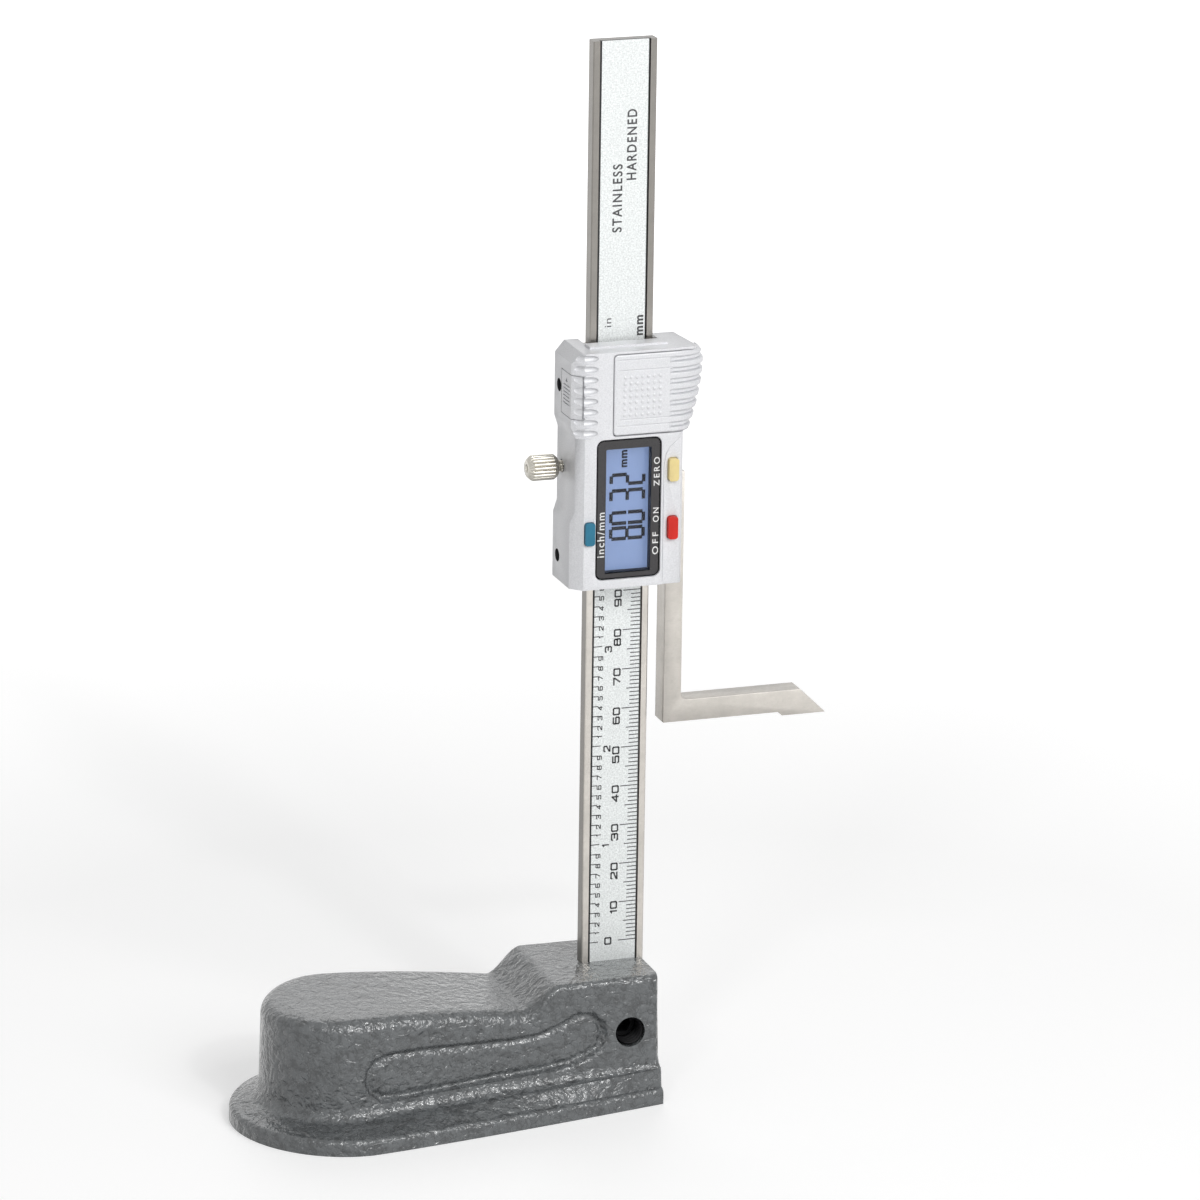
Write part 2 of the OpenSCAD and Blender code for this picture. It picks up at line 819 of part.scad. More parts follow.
module button_hole(x, z) {
  translate([x, 0, z])
    upright_plate(button_w + 2 * button_gap, button_h + 2 * button_gap,
                  button_r + button_gap, housing_front + over, cavity_front - over);
}

boss_d = 3.4;
boss_hole_d = 1.8;
shell_screw_reach = shell_screw_l - slider_back;

module shell_body() {
  difference() {
    union() {
      difference() {
        union() {
          translate([0, 0, slider_z])
            linear_extrude(housing_h)
              housing_plan();
          brow();
        }
        translate([0, 0, slider_z + shell_end_wall])
          linear_extrude(housing_h - 2 * shell_end_wall)
            cavity_plan();
      }
      translate([-pad_x, -pad_front, shell_top - shell_end_wall])
        cube([2 * pad_x, pad_depth, shell_end_wall + pad_h]);
      at_window()
        upright_plate(window_w + 2 * rim_w, window_h + 2 * rim_w, window_r + rim_w,
                      cavity_front + front_wall / 2, ledge_back);
      translate([-bay_block_left, -cover_floor, bay_z - brow_t])
        cube([bay_block_left + cavity_right + fit, cover_floor - bridge_front - fit,
              shell_top - shell_end_wall / 2 - bay_z + brow_t]);
      for (x = shell_screw_xs, z = shell_screw_zs)
        translate([x, -bridge_front - fit, z])
          rotate([90, 0, 0])
            cylinder(d = boss_d, h = cavity_front + front_wall / 2 - bridge_front - fit);
    }
    beam_notch();
    side_cuts();
    flutes();
    button_strip();
    port_recess();
  }
}

module front_shell() {
  color(shell_color)
    difference() {
      shell_body();
      at_window() {
        upright_plate(window_w + 2 * part_gap, window_h + 2 * part_gap, window_r + part_gap,
                      housing_front + over, window_back);
        upright_plate(window_w - 2 * ledge_w, window_h - 2 * ledge_w, window_r - ledge_w,
                      housing_front, ledge_back - over);
      }
      button_hole(button_right_x, button_zero_z);
      button_hole(button_right_x, button_power_z);
      button_hole(button_left_x, button_unit_z);
      difference() {
        cover_form(-cover_gap, housing_front - cover_end_depth);
        cover_form(cover_t + part_gap, housing_front - cover_end_depth - over);
      }
      cover_rails(part_gap, cover_end_x);
      translate([cell_x, -bay_floor, cell_z])
        rotate([90, 0, 0])
          cylinder(d = cell_d + 2 * cell_gap, h = housing_front);
      contact_slots();
      for (z = concat(gib_screw_zs, lock_z))
        translate([-housing_left - over, 0, z])
          rotate([0, 90, 0])
            cylinder(d = gib_screw_d + 4 * fit, h = housing_left + over - frame_left);
      translate([cavity_right - over, scriber_front - part_gap, slider_z - over])
        cube([housing_right, scriber_t + over, scriber_top - slider_z + part_gap + over]);
      for (x = shell_screw_xs, z = shell_screw_zs)
        translate([x, -bridge_front, z])
          rotate([90, 0, 0])
            cylinder(d = boss_hole_d + 2 * fit, h = shell_screw_reach - bridge_front + fit);
    }
}

module shell_screws() {
  color(steel_color)
    shell_screw_places()
      difference() {
        union() {
          cylinder(d = shell_screw_head_d, h = shell_screw_head_h);
          cylinder(d = boss_hole_d, h = shell_screw_l);
        }
        for (a = [0, 90])
          rotate([0, 0, a])
            translate([-shell_screw_head_d * 0.35, -shell_screw_head_h / 4, -over])
              cube([shell_screw_head_d * 0.7, shell_screw_head_h / 2,
                    over + shell_screw_head_h / 2]);
      }
}

// Electronics, from the board forward
board_margin = 0.3;
board_left = frame_left - board_margin;
board_right = frame_right - board_margin;
board_z = frame_z + bridge_h + board_margin;
board_h = frame_h - 2 * bridge_h - 2 * board_margin;

module circuit_board() {
  color("#20593c")
    translate([-board_left, -board_front, board_z])
      cube([board_left + board_right, board_t, board_h]);
}

chip_d = 7;
chip_h = 1;
chip_z = slider_z + 22;

module measuring_chip() {
  color("#141416")
    translate([view_x, -board_front, chip_z])
      rotate([90, 0, 0]) {
        cylinder(d = chip_d, h = chip_h / 2);
        translate([0, 0, chip_h / 2])
          cylinder(d1 = chip_d, d2 = chip_d / 2, h = chip_h / 2);
      }
}

module pad_rubber(x, z) {
  translate([x, -board_front, z])
    rotate([90, 0, 0]) {
      cylinder(d = pad_rubber_d, h = pad_rubber_h / 2);
      cylinder(d1 = pad_rubber_d, d2 = pad_rubber_d / 2, h = pad_rubber_h);
    }
}

module button_pads() {
  color("#8d8f92") {
    pad_rubber(button_right_x - board_margin, button_zero_z);
    pad_rubber(button_right_x - board_margin, button_power_z);
    pad_rubber(button_left_x + board_margin, button_unit_z);
  }
}

module display_window() {
  color([0.16, 0.17, 0.19, 0.5])
    at_window()
      upright_plate(window_w, window_h, window_r, window_back + window_t, window_back);
}

module lcd_frame() {
  color("#17181a")
    difference() {
      at_window()
        upright_plate(window_w - 2 * ledge_w - 2 * part_gap,
                      window_h - 2 * ledge_w - 2 * part_gap,
                      window_r - ledge_w - part_gap, window_back, lcd_front);
      at_view()
        upright_plate(view_w, view_h, fit, window_back + over, lcd_front - over);
    }
}

module lcd_panel() {
  color("#8ea3d2")
    at_view()
      upright_plate(view_w + 2 * lcd_margin, view_h + lcd_margin, fit, lcd_front,
                    lcd_back);
}

module backlight() {
  color("#dfe6ff")
    at_view()
      upright_plate(view_w + fit, view_h + fit, fit, lcd_back, lcd_back - backlight_t);
}

zebra_w = 0.9;
zebra_inset = 2.2;

module zebra_strips() {
  color("#2b2b2e")
    for (side = [-1, 1])
      at_view()
        translate([side * (view_w / 2 + lcd_margin / 2), 0, 0])
          upright_plate(zebra_w, view_h - 2 * zebra_inset, fit, lcd_back, board_front);
}

// Battery, its contacts and the data contacts
module battery_cell() {
  rim = cell_d * 0.06;
  color("#c9c9c4")
    translate([cell_x, -bay_floor - contact_t, cell_z])
      rotate([90, 0, 0]) {
        cylinder(d = cell_d - 2 * rim, h = contact_t);
        translate([0, 0, contact_t])
          cylinder(d = cell_d, h = cell_t - contact_t);
      }
}

contact_w = 2.4;
tail_x = cell_x - cell_d / 2 - cell_gap / 2;

module contact_minus() {
  color("#c8b27a") {
    translate([cell_x - cell_d / 4, -bay_floor - contact_t, cell_z - contact_w / 2])
      cube([cell_d / 2, contact_t, contact_w]);
    translate([cell_x - contact_t / 2, -bay_floor, cell_z - contact_w / 2])
      cube([contact_t, bay_floor - board_front, contact_w]);
  }
}

module contact_plus() {
  color("#c8b27a")
    translate([tail_x - contact_t / 2, -bay_floor - cell_t / 2, cell_z - contact_w / 2])
      cube([contact_t, bay_floor + cell_t / 2 - board_front, contact_w]);
}

module contact_slots() {
  translate([cell_x - contact_t / 2 - fit, -bay_floor - fit, cell_z - contact_w / 2 - fit])
    cube([contact_t + 2 * fit, bay_floor, contact_w + 2 * fit]);
  translate([tail_x - contact_t / 2 - fit, -bay_floor - cell_t / 2 - fit,
             cell_z - contact_w / 2 - fit])
    cube([contact_t + 2 * fit, bay_floor, contact_w + 2 * fit]);
}

data_pad_count = 4;
data_pad_w = 1;
data_pad_l = 1.8;
data_pitch = port_open_h / data_pad_count;

module data_contacts() {
  color("#c8a24a")
    for (i = [0:data_pad_count - 1])
      translate([-board_left, -board_front - contact_t,
                 port_z + (i - (data_pad_count - 1) / 2) * data_pitch - data_pad_w / 2])
        cube([data_pad_l, contact_t, data_pad_w]);
}

// Battery cover: a plate whose right end wraps round the housing
cover_bend_x = 9;
cover_round_x = cover_end_x - 2.7;
cover_end_depth = 7;

cover_plan_shares = [[0.53, 0.06], [0.2, 0.27], [0, 0.51]];
cover_outline_shares = [
  [0.72, 0], [0.58, 0.09], [0.29, 0.34], [0.08, 0.61], [0, 0.83], [0.07, 0.94], [0.24, 1]
];

function cover_plan(inset) = concat(
  [[cover_bend_x, -housing_front + inset]],
  [for (s = cover_plan_shares)
    [cover_end_x - s[0] * cover_overhang - inset * (1 - s[0]),
     -housing_front + s[1] * cover_end_depth + inset * (1 - s[1])]],
  [[cover_end_x - inset, -housing_front + cover_end_depth]]
);

cover_corner_r = 1;
function cover_corner(x, z, side, a) =
  [x + cover_corner_r * (1 - sin(a)), z + side * cover_corner_r * (1 - cos(a))];

// Solid form of the cover: its plan and its outline, both drawn in by an inset
module cover_form(inset, back) {
  reach = abs(inset);
  left = -bay_left - reach;
  intersection() {
    translate([0, 0, bay_z - reach])
      linear_extrude(cover_h + 2 * reach)
        polygon(concat([[left, -back], [left, -housing_front + inset]], cover_plan(inset),
                       [[cover_end_x - inset, -back]]));
    rotate([90, 0, 0])
      linear_extrude(housing_front + over)
        polygon(concat(
          [for (a = [90, 60, 30, 0]) cover_corner(left, bay_z - reach, 1, a)],
          [for (s = cover_outline_shares)
            [cover_end_x - s[0] * cover_overhang - inset,
             bay_z - reach + s[1] * (cover_h + 2 * reach)]],
          [for (a = [0, 30, 60, 90]) cover_corner(left, bay_z + cover_h + reach, -1, a)]
        ));
  }
}

// Rails under the cover, with tongues that run in grooves of the bay; grow widens them
module cover_rails(grow, right) {
  for (side = [-1, 1])
    translate([0, 0, cell_z + side * (cover_h / 2 - rail_inset - rail_w / 2)]) {
      translate([rail_x - grow, -cover_floor - grow, -rail_w / 2 - grow])
        cube([right - rail_x, rail_depth + 2 * grow, rail_w + 2 * grow]);
      translate([rail_x - grow, -cover_floor + rail_depth - rail_tongue_t - grow,
                 side * (rail_w / 2 + rail_tongue / 2) - rail_tongue / 2 - grow])
        cube([right - rail_x, rail_tongue_t + 2 * grow, rail_tongue + 2 * grow]);
    }
}

cover_rib_count = 7;
cover_rib_pitch = 2.7;
cover_groove_h = 0.8;
cover_groove_end = 8.6;
line_groove_shares = [0.12, 0.215, 0.785, 0.875];
line_groove_h = 0.35;

module battery_cover() {
  color(shell_color)
    difference() {
      union() {
        difference() {
          cover_form(0, housing_front - cover_end_depth);
          cover_form(cover_t, housing_front - cover_end_depth - over);
        }
        cover_rails(0, housing_right - over);
      }
      for (i = [0:cover_rib_count - 1])
        translate([0, 0, bay_z + cover_h / 2 + (i - (cover_rib_count - 1) / 2) * cover_rib_pitch
                   - cover_groove_h / 2])
          linear_extrude(cover_groove_h)
            polygon(concat(
              [[cover_groove_end, -housing_front - over],
               [cover_groove_end, -housing_front]],
              cover_plan(groove_depth),
              [[cover_end_x + over, -housing_front + cover_end_depth],
               [cover_end_x + over, -housing_front - over]]
            ));
      for (s = line_groove_shares)
        translate([-bay_left + cover_t, -housing_front - over,
                   bay_z + cover_h * s - line_groove_h / 2])
          cube([bay_left + cover_bend_x - 2 * cover_t, over + groove_depth / 2,
                line_groove_h]);
    }
}

port_mark_count = 5;
port_mark_pitch = 1.28;
port_mark_h = 0.45;
port_mark_l = 3.4;
port_mark_depth = 0.3;
port_mark_y = 5.2;

module port_cover() {
  color(shell_color)
    difference() {
      translate([0, 0, port_z - port_h / 2])
        linear_extrude(port_h)
          port_profile(port_t, 0);
      for (i = [0:port_mark_count - 1])
        translate([-housing_left - over, -port_mark_y - port_mark_l / 2,
                   port_z - port_h * 0.3 + i * port_mark_pitch])
          cube([over + port_mark_depth, port_mark_l, port_mark_h]);
      flutes();
    }
}

// Lock screw with a coarse straight knurl
knurl_count = 18;
knurl_depth = 0.3;
lock_bevel = 1;
lock_collar_l = 0.6;
lock_tip_gap = 0.3;
lock_head_gap = 0.5;
lock_head_x = -housing_left - lock_head_gap;

module lock_screw() {
  thread_l = -lock_head_x - channel_left + fit - lock_tip_gap;
  color("#d9d5c6")
    translate([lock_head_x, 0, lock_z])
      rotate([0, -90, 0]) {
        difference() {
          union() {
            cylinder(d1 = lock_head_d - 2 * lock_collar_l, d2 = lock_head_d, h = lock_collar_l);
            translate([0, 0, lock_collar_l])
              cylinder(d = lock_head_d, h = lock_head_l - lock_collar_l - lock_bevel);
            translate([0, 0, lock_head_l - lock_bevel])
              cylinder(d1 = lock_head_d, d2 = lock_head_d - 2 * lock_bevel, h = lock_bevel);
          }
          for (i = [0:knurl_count - 1])
            rotate([0, 0, i * 360 / knurl_count])
              translate([lock_head_d / 2 + knurl_depth * 0.4, 0, -over])
                rotate([0, 0, 45])
                  translate([-knurl_depth, -knurl_depth, 0])
                    cube([2 * knurl_depth, 2 * knurl_depth, lock_head_l + 2 * over]);
        }
        rotate([180, 0, 0])
          cylinder(d = gib_screw_d, h = thread_l);
      }
}

// Button: a cap on a flanged stem, held behind the front wall
module push_button(x, z) {
  translate([x, 0, z]) {
    upright_plate(button_w, button_h, button_r, housing_front + button_proud, button_back);
    upright_plate(button_w, button_h + 2 * button_flange_h, button_r,
                  cavity_front - part_gap, cavity_front - part_gap - button_flange_t);
  }
}

module button_zero() {
  color("#e6c878")
    push_button(button_right_x, button_zero_z);
}

module button_power() {
  color("#d8362f")
    push_button(button_right_x, button_power_z);
}

module button_unit() {
  color("#3d86a3")
    push_button(button_left_x, button_unit_z);
}

base_casting();
set_screw();
beam();
sensor_strip();
scale_label();
slider_frame();
gib_strip();
gib_screws();
scriber();
scriber_screws();
front_shell();
shell_screws();
circuit_board();
measuring_chip();
button_pads();
display_window();
lcd_frame();
lcd_panel();
backlight();
zebra_strips();
battery_cell();
contact_minus();
contact_plus();
data_contacts();
battery_cover();
port_cover();
lock_screw();
button_zero();
button_power();
button_unit();
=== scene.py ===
"""Digital height gauge: enamelled cast base, steel beam with a printed scale, and a slider with a display.

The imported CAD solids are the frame. Each operator dresses one piece, or a group of like pieces.
"""

import json
import math
from contextlib import contextmanager
from itertools import product

import bmesh
import bpy
import numpy as np
from bpy.props import FloatProperty, FloatVectorProperty, IntProperty, PointerProperty
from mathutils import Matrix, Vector

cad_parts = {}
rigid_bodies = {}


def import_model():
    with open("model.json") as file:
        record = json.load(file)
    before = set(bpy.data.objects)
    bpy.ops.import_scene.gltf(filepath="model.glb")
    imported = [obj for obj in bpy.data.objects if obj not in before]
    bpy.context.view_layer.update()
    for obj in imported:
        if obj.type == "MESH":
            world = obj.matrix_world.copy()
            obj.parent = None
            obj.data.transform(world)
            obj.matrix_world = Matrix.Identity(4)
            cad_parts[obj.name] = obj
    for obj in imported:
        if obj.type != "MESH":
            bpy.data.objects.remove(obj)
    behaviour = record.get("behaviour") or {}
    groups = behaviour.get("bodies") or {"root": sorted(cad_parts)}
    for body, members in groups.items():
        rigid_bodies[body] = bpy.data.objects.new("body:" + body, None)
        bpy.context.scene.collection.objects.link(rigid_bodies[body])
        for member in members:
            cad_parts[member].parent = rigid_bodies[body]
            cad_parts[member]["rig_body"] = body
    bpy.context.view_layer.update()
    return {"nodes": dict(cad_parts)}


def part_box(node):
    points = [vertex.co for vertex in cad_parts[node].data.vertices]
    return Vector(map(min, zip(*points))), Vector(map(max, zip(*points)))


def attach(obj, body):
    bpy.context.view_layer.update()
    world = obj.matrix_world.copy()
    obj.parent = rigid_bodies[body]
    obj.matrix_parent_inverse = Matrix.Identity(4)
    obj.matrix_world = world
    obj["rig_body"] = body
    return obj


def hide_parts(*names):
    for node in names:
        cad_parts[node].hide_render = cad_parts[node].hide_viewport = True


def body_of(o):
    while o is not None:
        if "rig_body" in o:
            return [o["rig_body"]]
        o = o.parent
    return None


bl_info = {
    "name": "Digital height gauge",
    "version": (1, 0, 0),
    "blender": (4, 5, 0),
    "location": "View3D > Sidebar > Height gauge",
    "description": "Dresses the CAD frame of a digital height gauge",
    "category": "Object",
}

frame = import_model()
MM = 0.001


def node_box(name):
    """Lowest and highest corner of a CAD node, in millimetres."""
    low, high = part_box(name)
    return np.array(low) / MM, np.array(high) / MM


BASE_LOW, BASE_HIGH = node_box("base_casting")
BEAM_LOW, BEAM_HIGH = node_box("beam")
LABEL_LOW, LABEL_HIGH = node_box("scale_label")
WINDOW_LOW, WINDOW_HIGH = node_box("display_window")
LCD_LOW = node_box("lcd_panel")[0]
COVER_LOW, COVER_HIGH = node_box("battery_cover")
PORT_LOW, PORT_HIGH = node_box("port_cover")
SHELL_LOW, SHELL_HIGH = node_box("front_shell")
SCREW_LOW, SCREW_HIGH = node_box("lock_screw")
SOCKET_LOW, SOCKET_HIGH = node_box("set_screw")
GIB_LOW, GIB_HIGH = node_box("gib_screws")

# Sizes and colours


def length(name, about, value):
    """A size in millimetres that the panel shows."""
    return FloatProperty(name=name, description=about, default=value)


def number(name, about, value):
    """A number of like things that the panel shows."""
    return IntProperty(name=name, description=about, default=value)


def paint(name, about, value):
    """A colour that the panel shows."""
    return FloatVectorProperty(name=name, description=about, default=value, subtype="COLOR", min=0, max=1)


class BaseSizes(bpy.types.PropertyGroup):
    """Sizes of the cast base, in millimetres."""

    flange_t: length("Flange thickness", "Thickness of the flange at its edge", 4.0)
    flange_edge_r: length("Flange edge radius", "Rounding of the flange's upper edge", 1.5)
    fillet_r: length("Fillet radius", "Radius where the body rises from the flange", 3.0)
    panel_depth: length("Panel depth", "Depth of the shallow panel in each side", 1.2)
    panel_edge: length("Panel edge", "Width of the panel's rounded edge", 1.5)
    end_flare: length("End flare", "How far the foot of the right end stands out", 0.6)
    relief_depth: length("Relief depth", "Depth of the relief under the base", 1.2)
    relief_rim: length("Relief rim", "Width of the rim left round the relief", 9.0)
    thread_pitch: length("Thread pitch", "Pitch of the set screw's thread", 1.25)


class ScaleSizes(bpy.types.PropertyGroup):
    """Sizes of the printed scale, in millimetres."""

    zero_z: length("Zero line", "Height of the zero line above the sole", 37.67)
    count: number("Millimetres", "Length of the scale", 150)
    line_w: length("Line width", "Width of a printed line", 0.246)
    short_l: length("Short line", "Length of a one millimetre line", 2.3)
    middle_l: length("Middle line", "Length of a five millimetre line", 3.15)
    long_l: length("Long line", "Length of a ten millimetre line", 4.3)
    tenth_l: length("Tenth line", "Length of a line for a tenth of an inch", 1.25)
    inch_l: length("Inch line", "Length of an inch line", 2.0)
    digit_h: length("Digit height", "Height of the large digits", 1.5)
    digit_w: length("Digit width", "Width of the large digits", 1.62)


class SliderSizes(bpy.types.PropertyGroup):
    """Sizes of the slider's finish, in millimetres."""

    edge_r: length("Edge radius", "Rounding of the housing's edges", 0.3)
    button_edge_r: length("Button edge radius", "Rounding of the buttons' edges", 0.32)
    scriber_edge_r: length("Scriber edge radius", "Rounding of the scriber's edges", 0.12)
    dot_rows: number("Dot rows", "Rows of dots on the battery cover", 7)
    dot_pitch_x: length("Dot pitch across", "Distance between dots, across", 1.48)
    dot_pitch_z: length("Dot pitch up", "Distance between dots, upwards", 1.55)
    dot_r: length("Dot radius", "Radius of a dot", 0.5)
    rib_pitch: length("Rib pitch", "Distance between the cover's ribs", 2.69)
    knurl_count: number("Knurl ridges", "Ridges round the lock screw's head", 18)


class FinishColours(bpy.types.PropertyGroup):
    """Colours of the finishes."""

    enamel: paint("Enamel", "Hammered enamel of the base", (0.082, 0.088, 0.0915))
    steel: paint("Steel", "Ground steel of the beam and scriber", (0.54, 0.513, 0.475))
    label: paint("Label", "Brushed film of the scale", (0.74, 0.765, 0.76))
    silver: paint("Silver", "Silver paint of the housing", (0.70, 0.705, 0.725))
    bezel: paint("Bezel", "Printed border of the window", (0.05, 0.048, 0.05))
    display: paint("Display", "Lit display", (0.255, 0.345, 0.57))
    ink: paint("Ink", "Printed lines and numbers", (0.035, 0.035, 0.038))
    yellow: paint("Yellow", "Zero button", (0.75, 0.61, 0.27))
    red: paint("Red", "Power button", (0.60, 0.022, 0.014))
    blue: paint("Blue", "Unit button", (0.026, 0.17, 0.27))
    floor: paint("Floor", "Pale floor", (0.72, 0.72, 0.72))


# Surfaces

# Faces that turn less are joined up, edges that turn more are rounded, or kept sharp where they are rough
FLAT_ANGLE, ROUND_ANGLE, SHARP_ANGLE = np.radians([1, 30, 28]).tolist()
# How near points are welded, in metres: in a copied node, and in a new mesh
WELD_NODE, WELD_NEW = 2e-6, 1e-7
# How far a cutter stands out of what it cuts
CUT_OVER = 1.0


def smoothed(share):
    """Smooth step from 0 to 1: s * s * (3 - 2 s)."""
    share = np.clip(share, 0, 1)
    return share * share * (3 - 2 * share)


def mixed(low, high, share):
    """Value between low and high at a share."""
    return low + (high - low) * share


def quarter(steps):
    """Angles of a quarter turn."""
    return np.linspace(0, np.pi / 2, steps)


def whole_turn(steps):
    """Angles of a whole turn, without its end, which is its start again."""
    return np.linspace(0, 2 * np.pi, steps, endpoint=False)


def circle(radius, steps):
    """Points round a circle in a plane."""
    a = whole_turn(steps)
    return radius * np.stack([np.cos(a), np.sin(a)], -1)


def plain_mesh(name, points, faces):
    """Mesh from points in millimetres and a list or array of faces, just as they are."""
    mesh = bpy.data.meshes.new(name)
    mesh.from_pydata((np.asarray(points, float) * MM).tolist(), [], [list(f) for f in faces])
    return mesh


@contextmanager
def opened(mesh):
    """The mesh, open for edits that are written back to it at the end."""
    work = bmesh.new()
    work.from_mesh(mesh)
    yield work
    work.to_mesh(mesh)
    work.free()


def mesh_of(name, points, faces, smooth=True):
    """Mesh from points in millimetres and faces, with its doubles merged and its faces turned outwards."""
    mesh = plain_mesh(name, points, faces)
    with opened(mesh) as work:
        bmesh.ops.remove_doubles(work, verts=work.verts, dist=WELD_NEW)
        bmesh.ops.recalc_face_normals(work, faces=work.faces)
    if smooth:
        mesh.shade_smooth()
    return mesh


def keep_sharp(mesh, angle):
    """Smooth shading, but with every edge sharper than the angle kept sharp."""
    mesh.shade_smooth()
    with opened(mesh) as work:
        for edge in work.edges:
            edge.smooth = not edge.is_manifold or edge.calc_face_angle(0) < math.radians(angle)


def grid_faces(rows, columns, wrap=False):
    """Quads of a grid of rows by columns; wrap joins the last row to the first."""
    i, j = np.meshgrid(np.arange(rows if wrap else rows - 1), np.arange(columns - 1), indexing="ij")
    start, after = i * columns + j, (i + 1) % rows * columns + j
    return np.stack([start, start + 1, after + 1, after], -1).reshape(-1, 4).tolist()


def ring_faces(count):
    """Quads between two rings of points, the second of which follows the first."""
    k = np.arange(count)
    after = (k + 1) % count
    return np.stack([k, after, after + count, k + count], -1).tolist()


def turned(profile, steps, radius_share=None):
    """Surface of revolution about X: the point at angle a is (x, r cos a, r sin a).

    The profile gives x and r, and radius_share(a, x), where there is one, scales r.
    """
    a = whole_turn(steps)[:, None]
    x, r = (np.asarray(profile, float)[None, :, k] + 0 * a for k in (0, 1))
    if radius_share is not None:
        r = r * radius_share(a, x)
    return np.stack([x, r * np.cos(a), r * np.sin(a)], -1).reshape(-1, 3), grid_faces(*x.shape, wrap=True)


def screw_thread(r_mean, depth, pitch, x0, x1, steps=72):
    """Tube about X whose radius is r_mean + depth * triangle(x / pitch - angle / full turn)."""

    def share(a, x):
        phase = (x / pitch - a / (2 * np.pi)) % 1
        return 1 + depth / r_mean * (np.abs(2 * phase - 1) - 0.5)

    x = np.arange(x0, x1, pitch / 10)
    return turned(np.stack([x, np.full_like(x, r_mean)], -1), steps, share)


def block(low, high):
    """Points and faces of a box between two corners."""
    corners = np.array(list(product(*zip(low, high))))
    return corners, [[0, 1, 3, 2], [4, 6, 7, 5], [0, 4, 5, 1], [2, 3, 7, 6], [0, 2, 6, 4], [1, 5, 7, 3]]


def prism(outline, low, high, axis):
    """Closed prism over a plane outline, carried along X, Y or Z from low to high."""
    outline = np.asarray(outline, float)
    ends = [np.insert(outline, "XYZ".index(axis), level, axis=1) for level in (low, high)]
    k = np.arange(len(outline))
    return np.concatenate(ends), [*ring_faces(len(k)), k[::-1].tolist(), (k + len(k)).tolist()]


def repeated(points, faces, places):
    """Copies of a shape at a list of places, as one set of points and faces."""
    points, faces, places = np.asarray(points), np.asarray(faces), np.asarray(places)
    first = len(points) * np.arange(len(places))[:, None, None]
    return (places[:, None] + points).reshape(-1, 3), (faces + first).reshape(-1, faces.shape[1])


def outline_distance(points, outline):
    """Distance of each point to a closed outline, positive inside it, worked out for all edges at once."""
    a, b = outline, np.roll(outline, -1, 0)
    edge = b - a
    offset = points[:, None] - a[None]
    along = np.clip((offset * edge).sum(-1) / (edge * edge).sum(-1), 0, 1)
    gap = np.linalg.norm(offset - along[..., None] * edge, axis=-1).min(1)
    crosses = (a[None, :, 1] > points[:, None, 1]) != (b[None, :, 1] > points[:, None, 1])
    rise = np.where(edge[:, 1] == 0, 1, edge[:, 1])
    reach = a[:, 0] + (points[:, None, 1] - a[:, 1]) * edge[:, 0] / rise
    inside = (crosses & (points[:, None, 0] < reach)).sum(1) % 2 == 1
    return np.where(inside, gap, -gap)


def sideways(line):
    """Unit normals of a line of plane points, to its right."""
    way = np.gradient(line, axis=0)
    return np.stack([way[:, 1], -way[:, 0]], -1) / np.linalg.norm(way, axis=1)[:, None]


# Pieces


def link(mesh, body, look=None):
    """Puts a mesh into the scene as a piece of the same name, with its body and finish."""
    piece = bpy.data.objects.new(mesh.name, mesh)
    bpy.context.scene.collection.objects.link(piece)
    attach(piece, body)
    return coat(piece, look) if look else piece


def carve(piece, cutters):
    """Cuts closed meshes, given as points and faces in millimetres, out of the piece, one after another."""
    for points, faces in cutters:
        tool = bpy.data.objects.new("cutter", mesh_of("cutter", points, faces, smooth=False))
        bpy.context.scene.collection.objects.link(tool)
        cut = piece.modifiers.new("Cut", "BOOLEAN")
        cut.object = tool
        cut.solver = "EXACT"
        graph = bpy.context.evaluated_depsgraph_get()
        mesh = bpy.data.meshes.new_from_object(piece.evaluated_get(graph))
        piece.modifiers.clear()
        piece.data = mesh
        bpy.data.objects.remove(tool)


def softened(node, name, width, look, segments=3, cutters=(), rough=((0, 0, 0), (0, 0, 0))):
    """Copy of a CAD node with its flat faces joined up and its edges rounded, which replaces the node.

    Cutters are taken out of it first. In the rough box, the edges are kept sharp instead of being rounded.
    """
    source = frame["nodes"][node]
    mesh = source.data.copy()
    mesh.name = name
    mesh.materials.clear()
    with opened(mesh) as work:
        bmesh.ops.remove_doubles(work, verts=work.verts, dist=WELD_NODE)
        bmesh.ops.dissolve_limit(work, angle_limit=FLAT_ANGLE, verts=work.verts, edges=work.edges)
    piece = link(mesh, body_of(source)[0])
    carve(piece, cutters)
    piece.data.shade_smooth()
    with opened(piece.data) as work:
        weight = work.edges.layers.float.new("bevel_weight_edge")
        for edge in work.edges:
            turn = edge.calc_face_angle(0) if edge.is_manifold else 0
            middle = (edge.verts[0].co + edge.verts[1].co) / (2 * MM)
            inside = all(a < b < c for a, b, c in zip(rough[0], middle, rough[1]))
            edge[weight] = float(turn > ROUND_ANGLE and not inside)
            edge.smooth = not (inside and turn > SHARP_ANGLE)
    bevel = piece.modifiers.new("Edge rounding", "BEVEL")
    bevel.width = width * MM
    bevel.segments = segments
    bevel.limit_method = "WEIGHT"
    bevel.harden_normals = True
    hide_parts(node)
    return coat(piece, look)


def coat(piece, look):
    """Gives a piece one finish all over."""
    piece.data.materials.clear()
    piece.data.materials.append(finish(look))
    return piece


def coat_nodes(**looks):
    """Gives CAD nodes the finishes that stand beside their names."""
    for node, look in looks.items():
        coat(frame["nodes"][node], look)


# Finishes


def feed(tree, target, value):
    """Links another node's output to a socket, or gives the socket a value."""
    if isinstance(value, bpy.types.NodeSocket):
        tree.links.new(value, target)
    elif target.type == "RGBA":
        target.default_value = (*value, 1.0)
    else:
        target.default_value = value


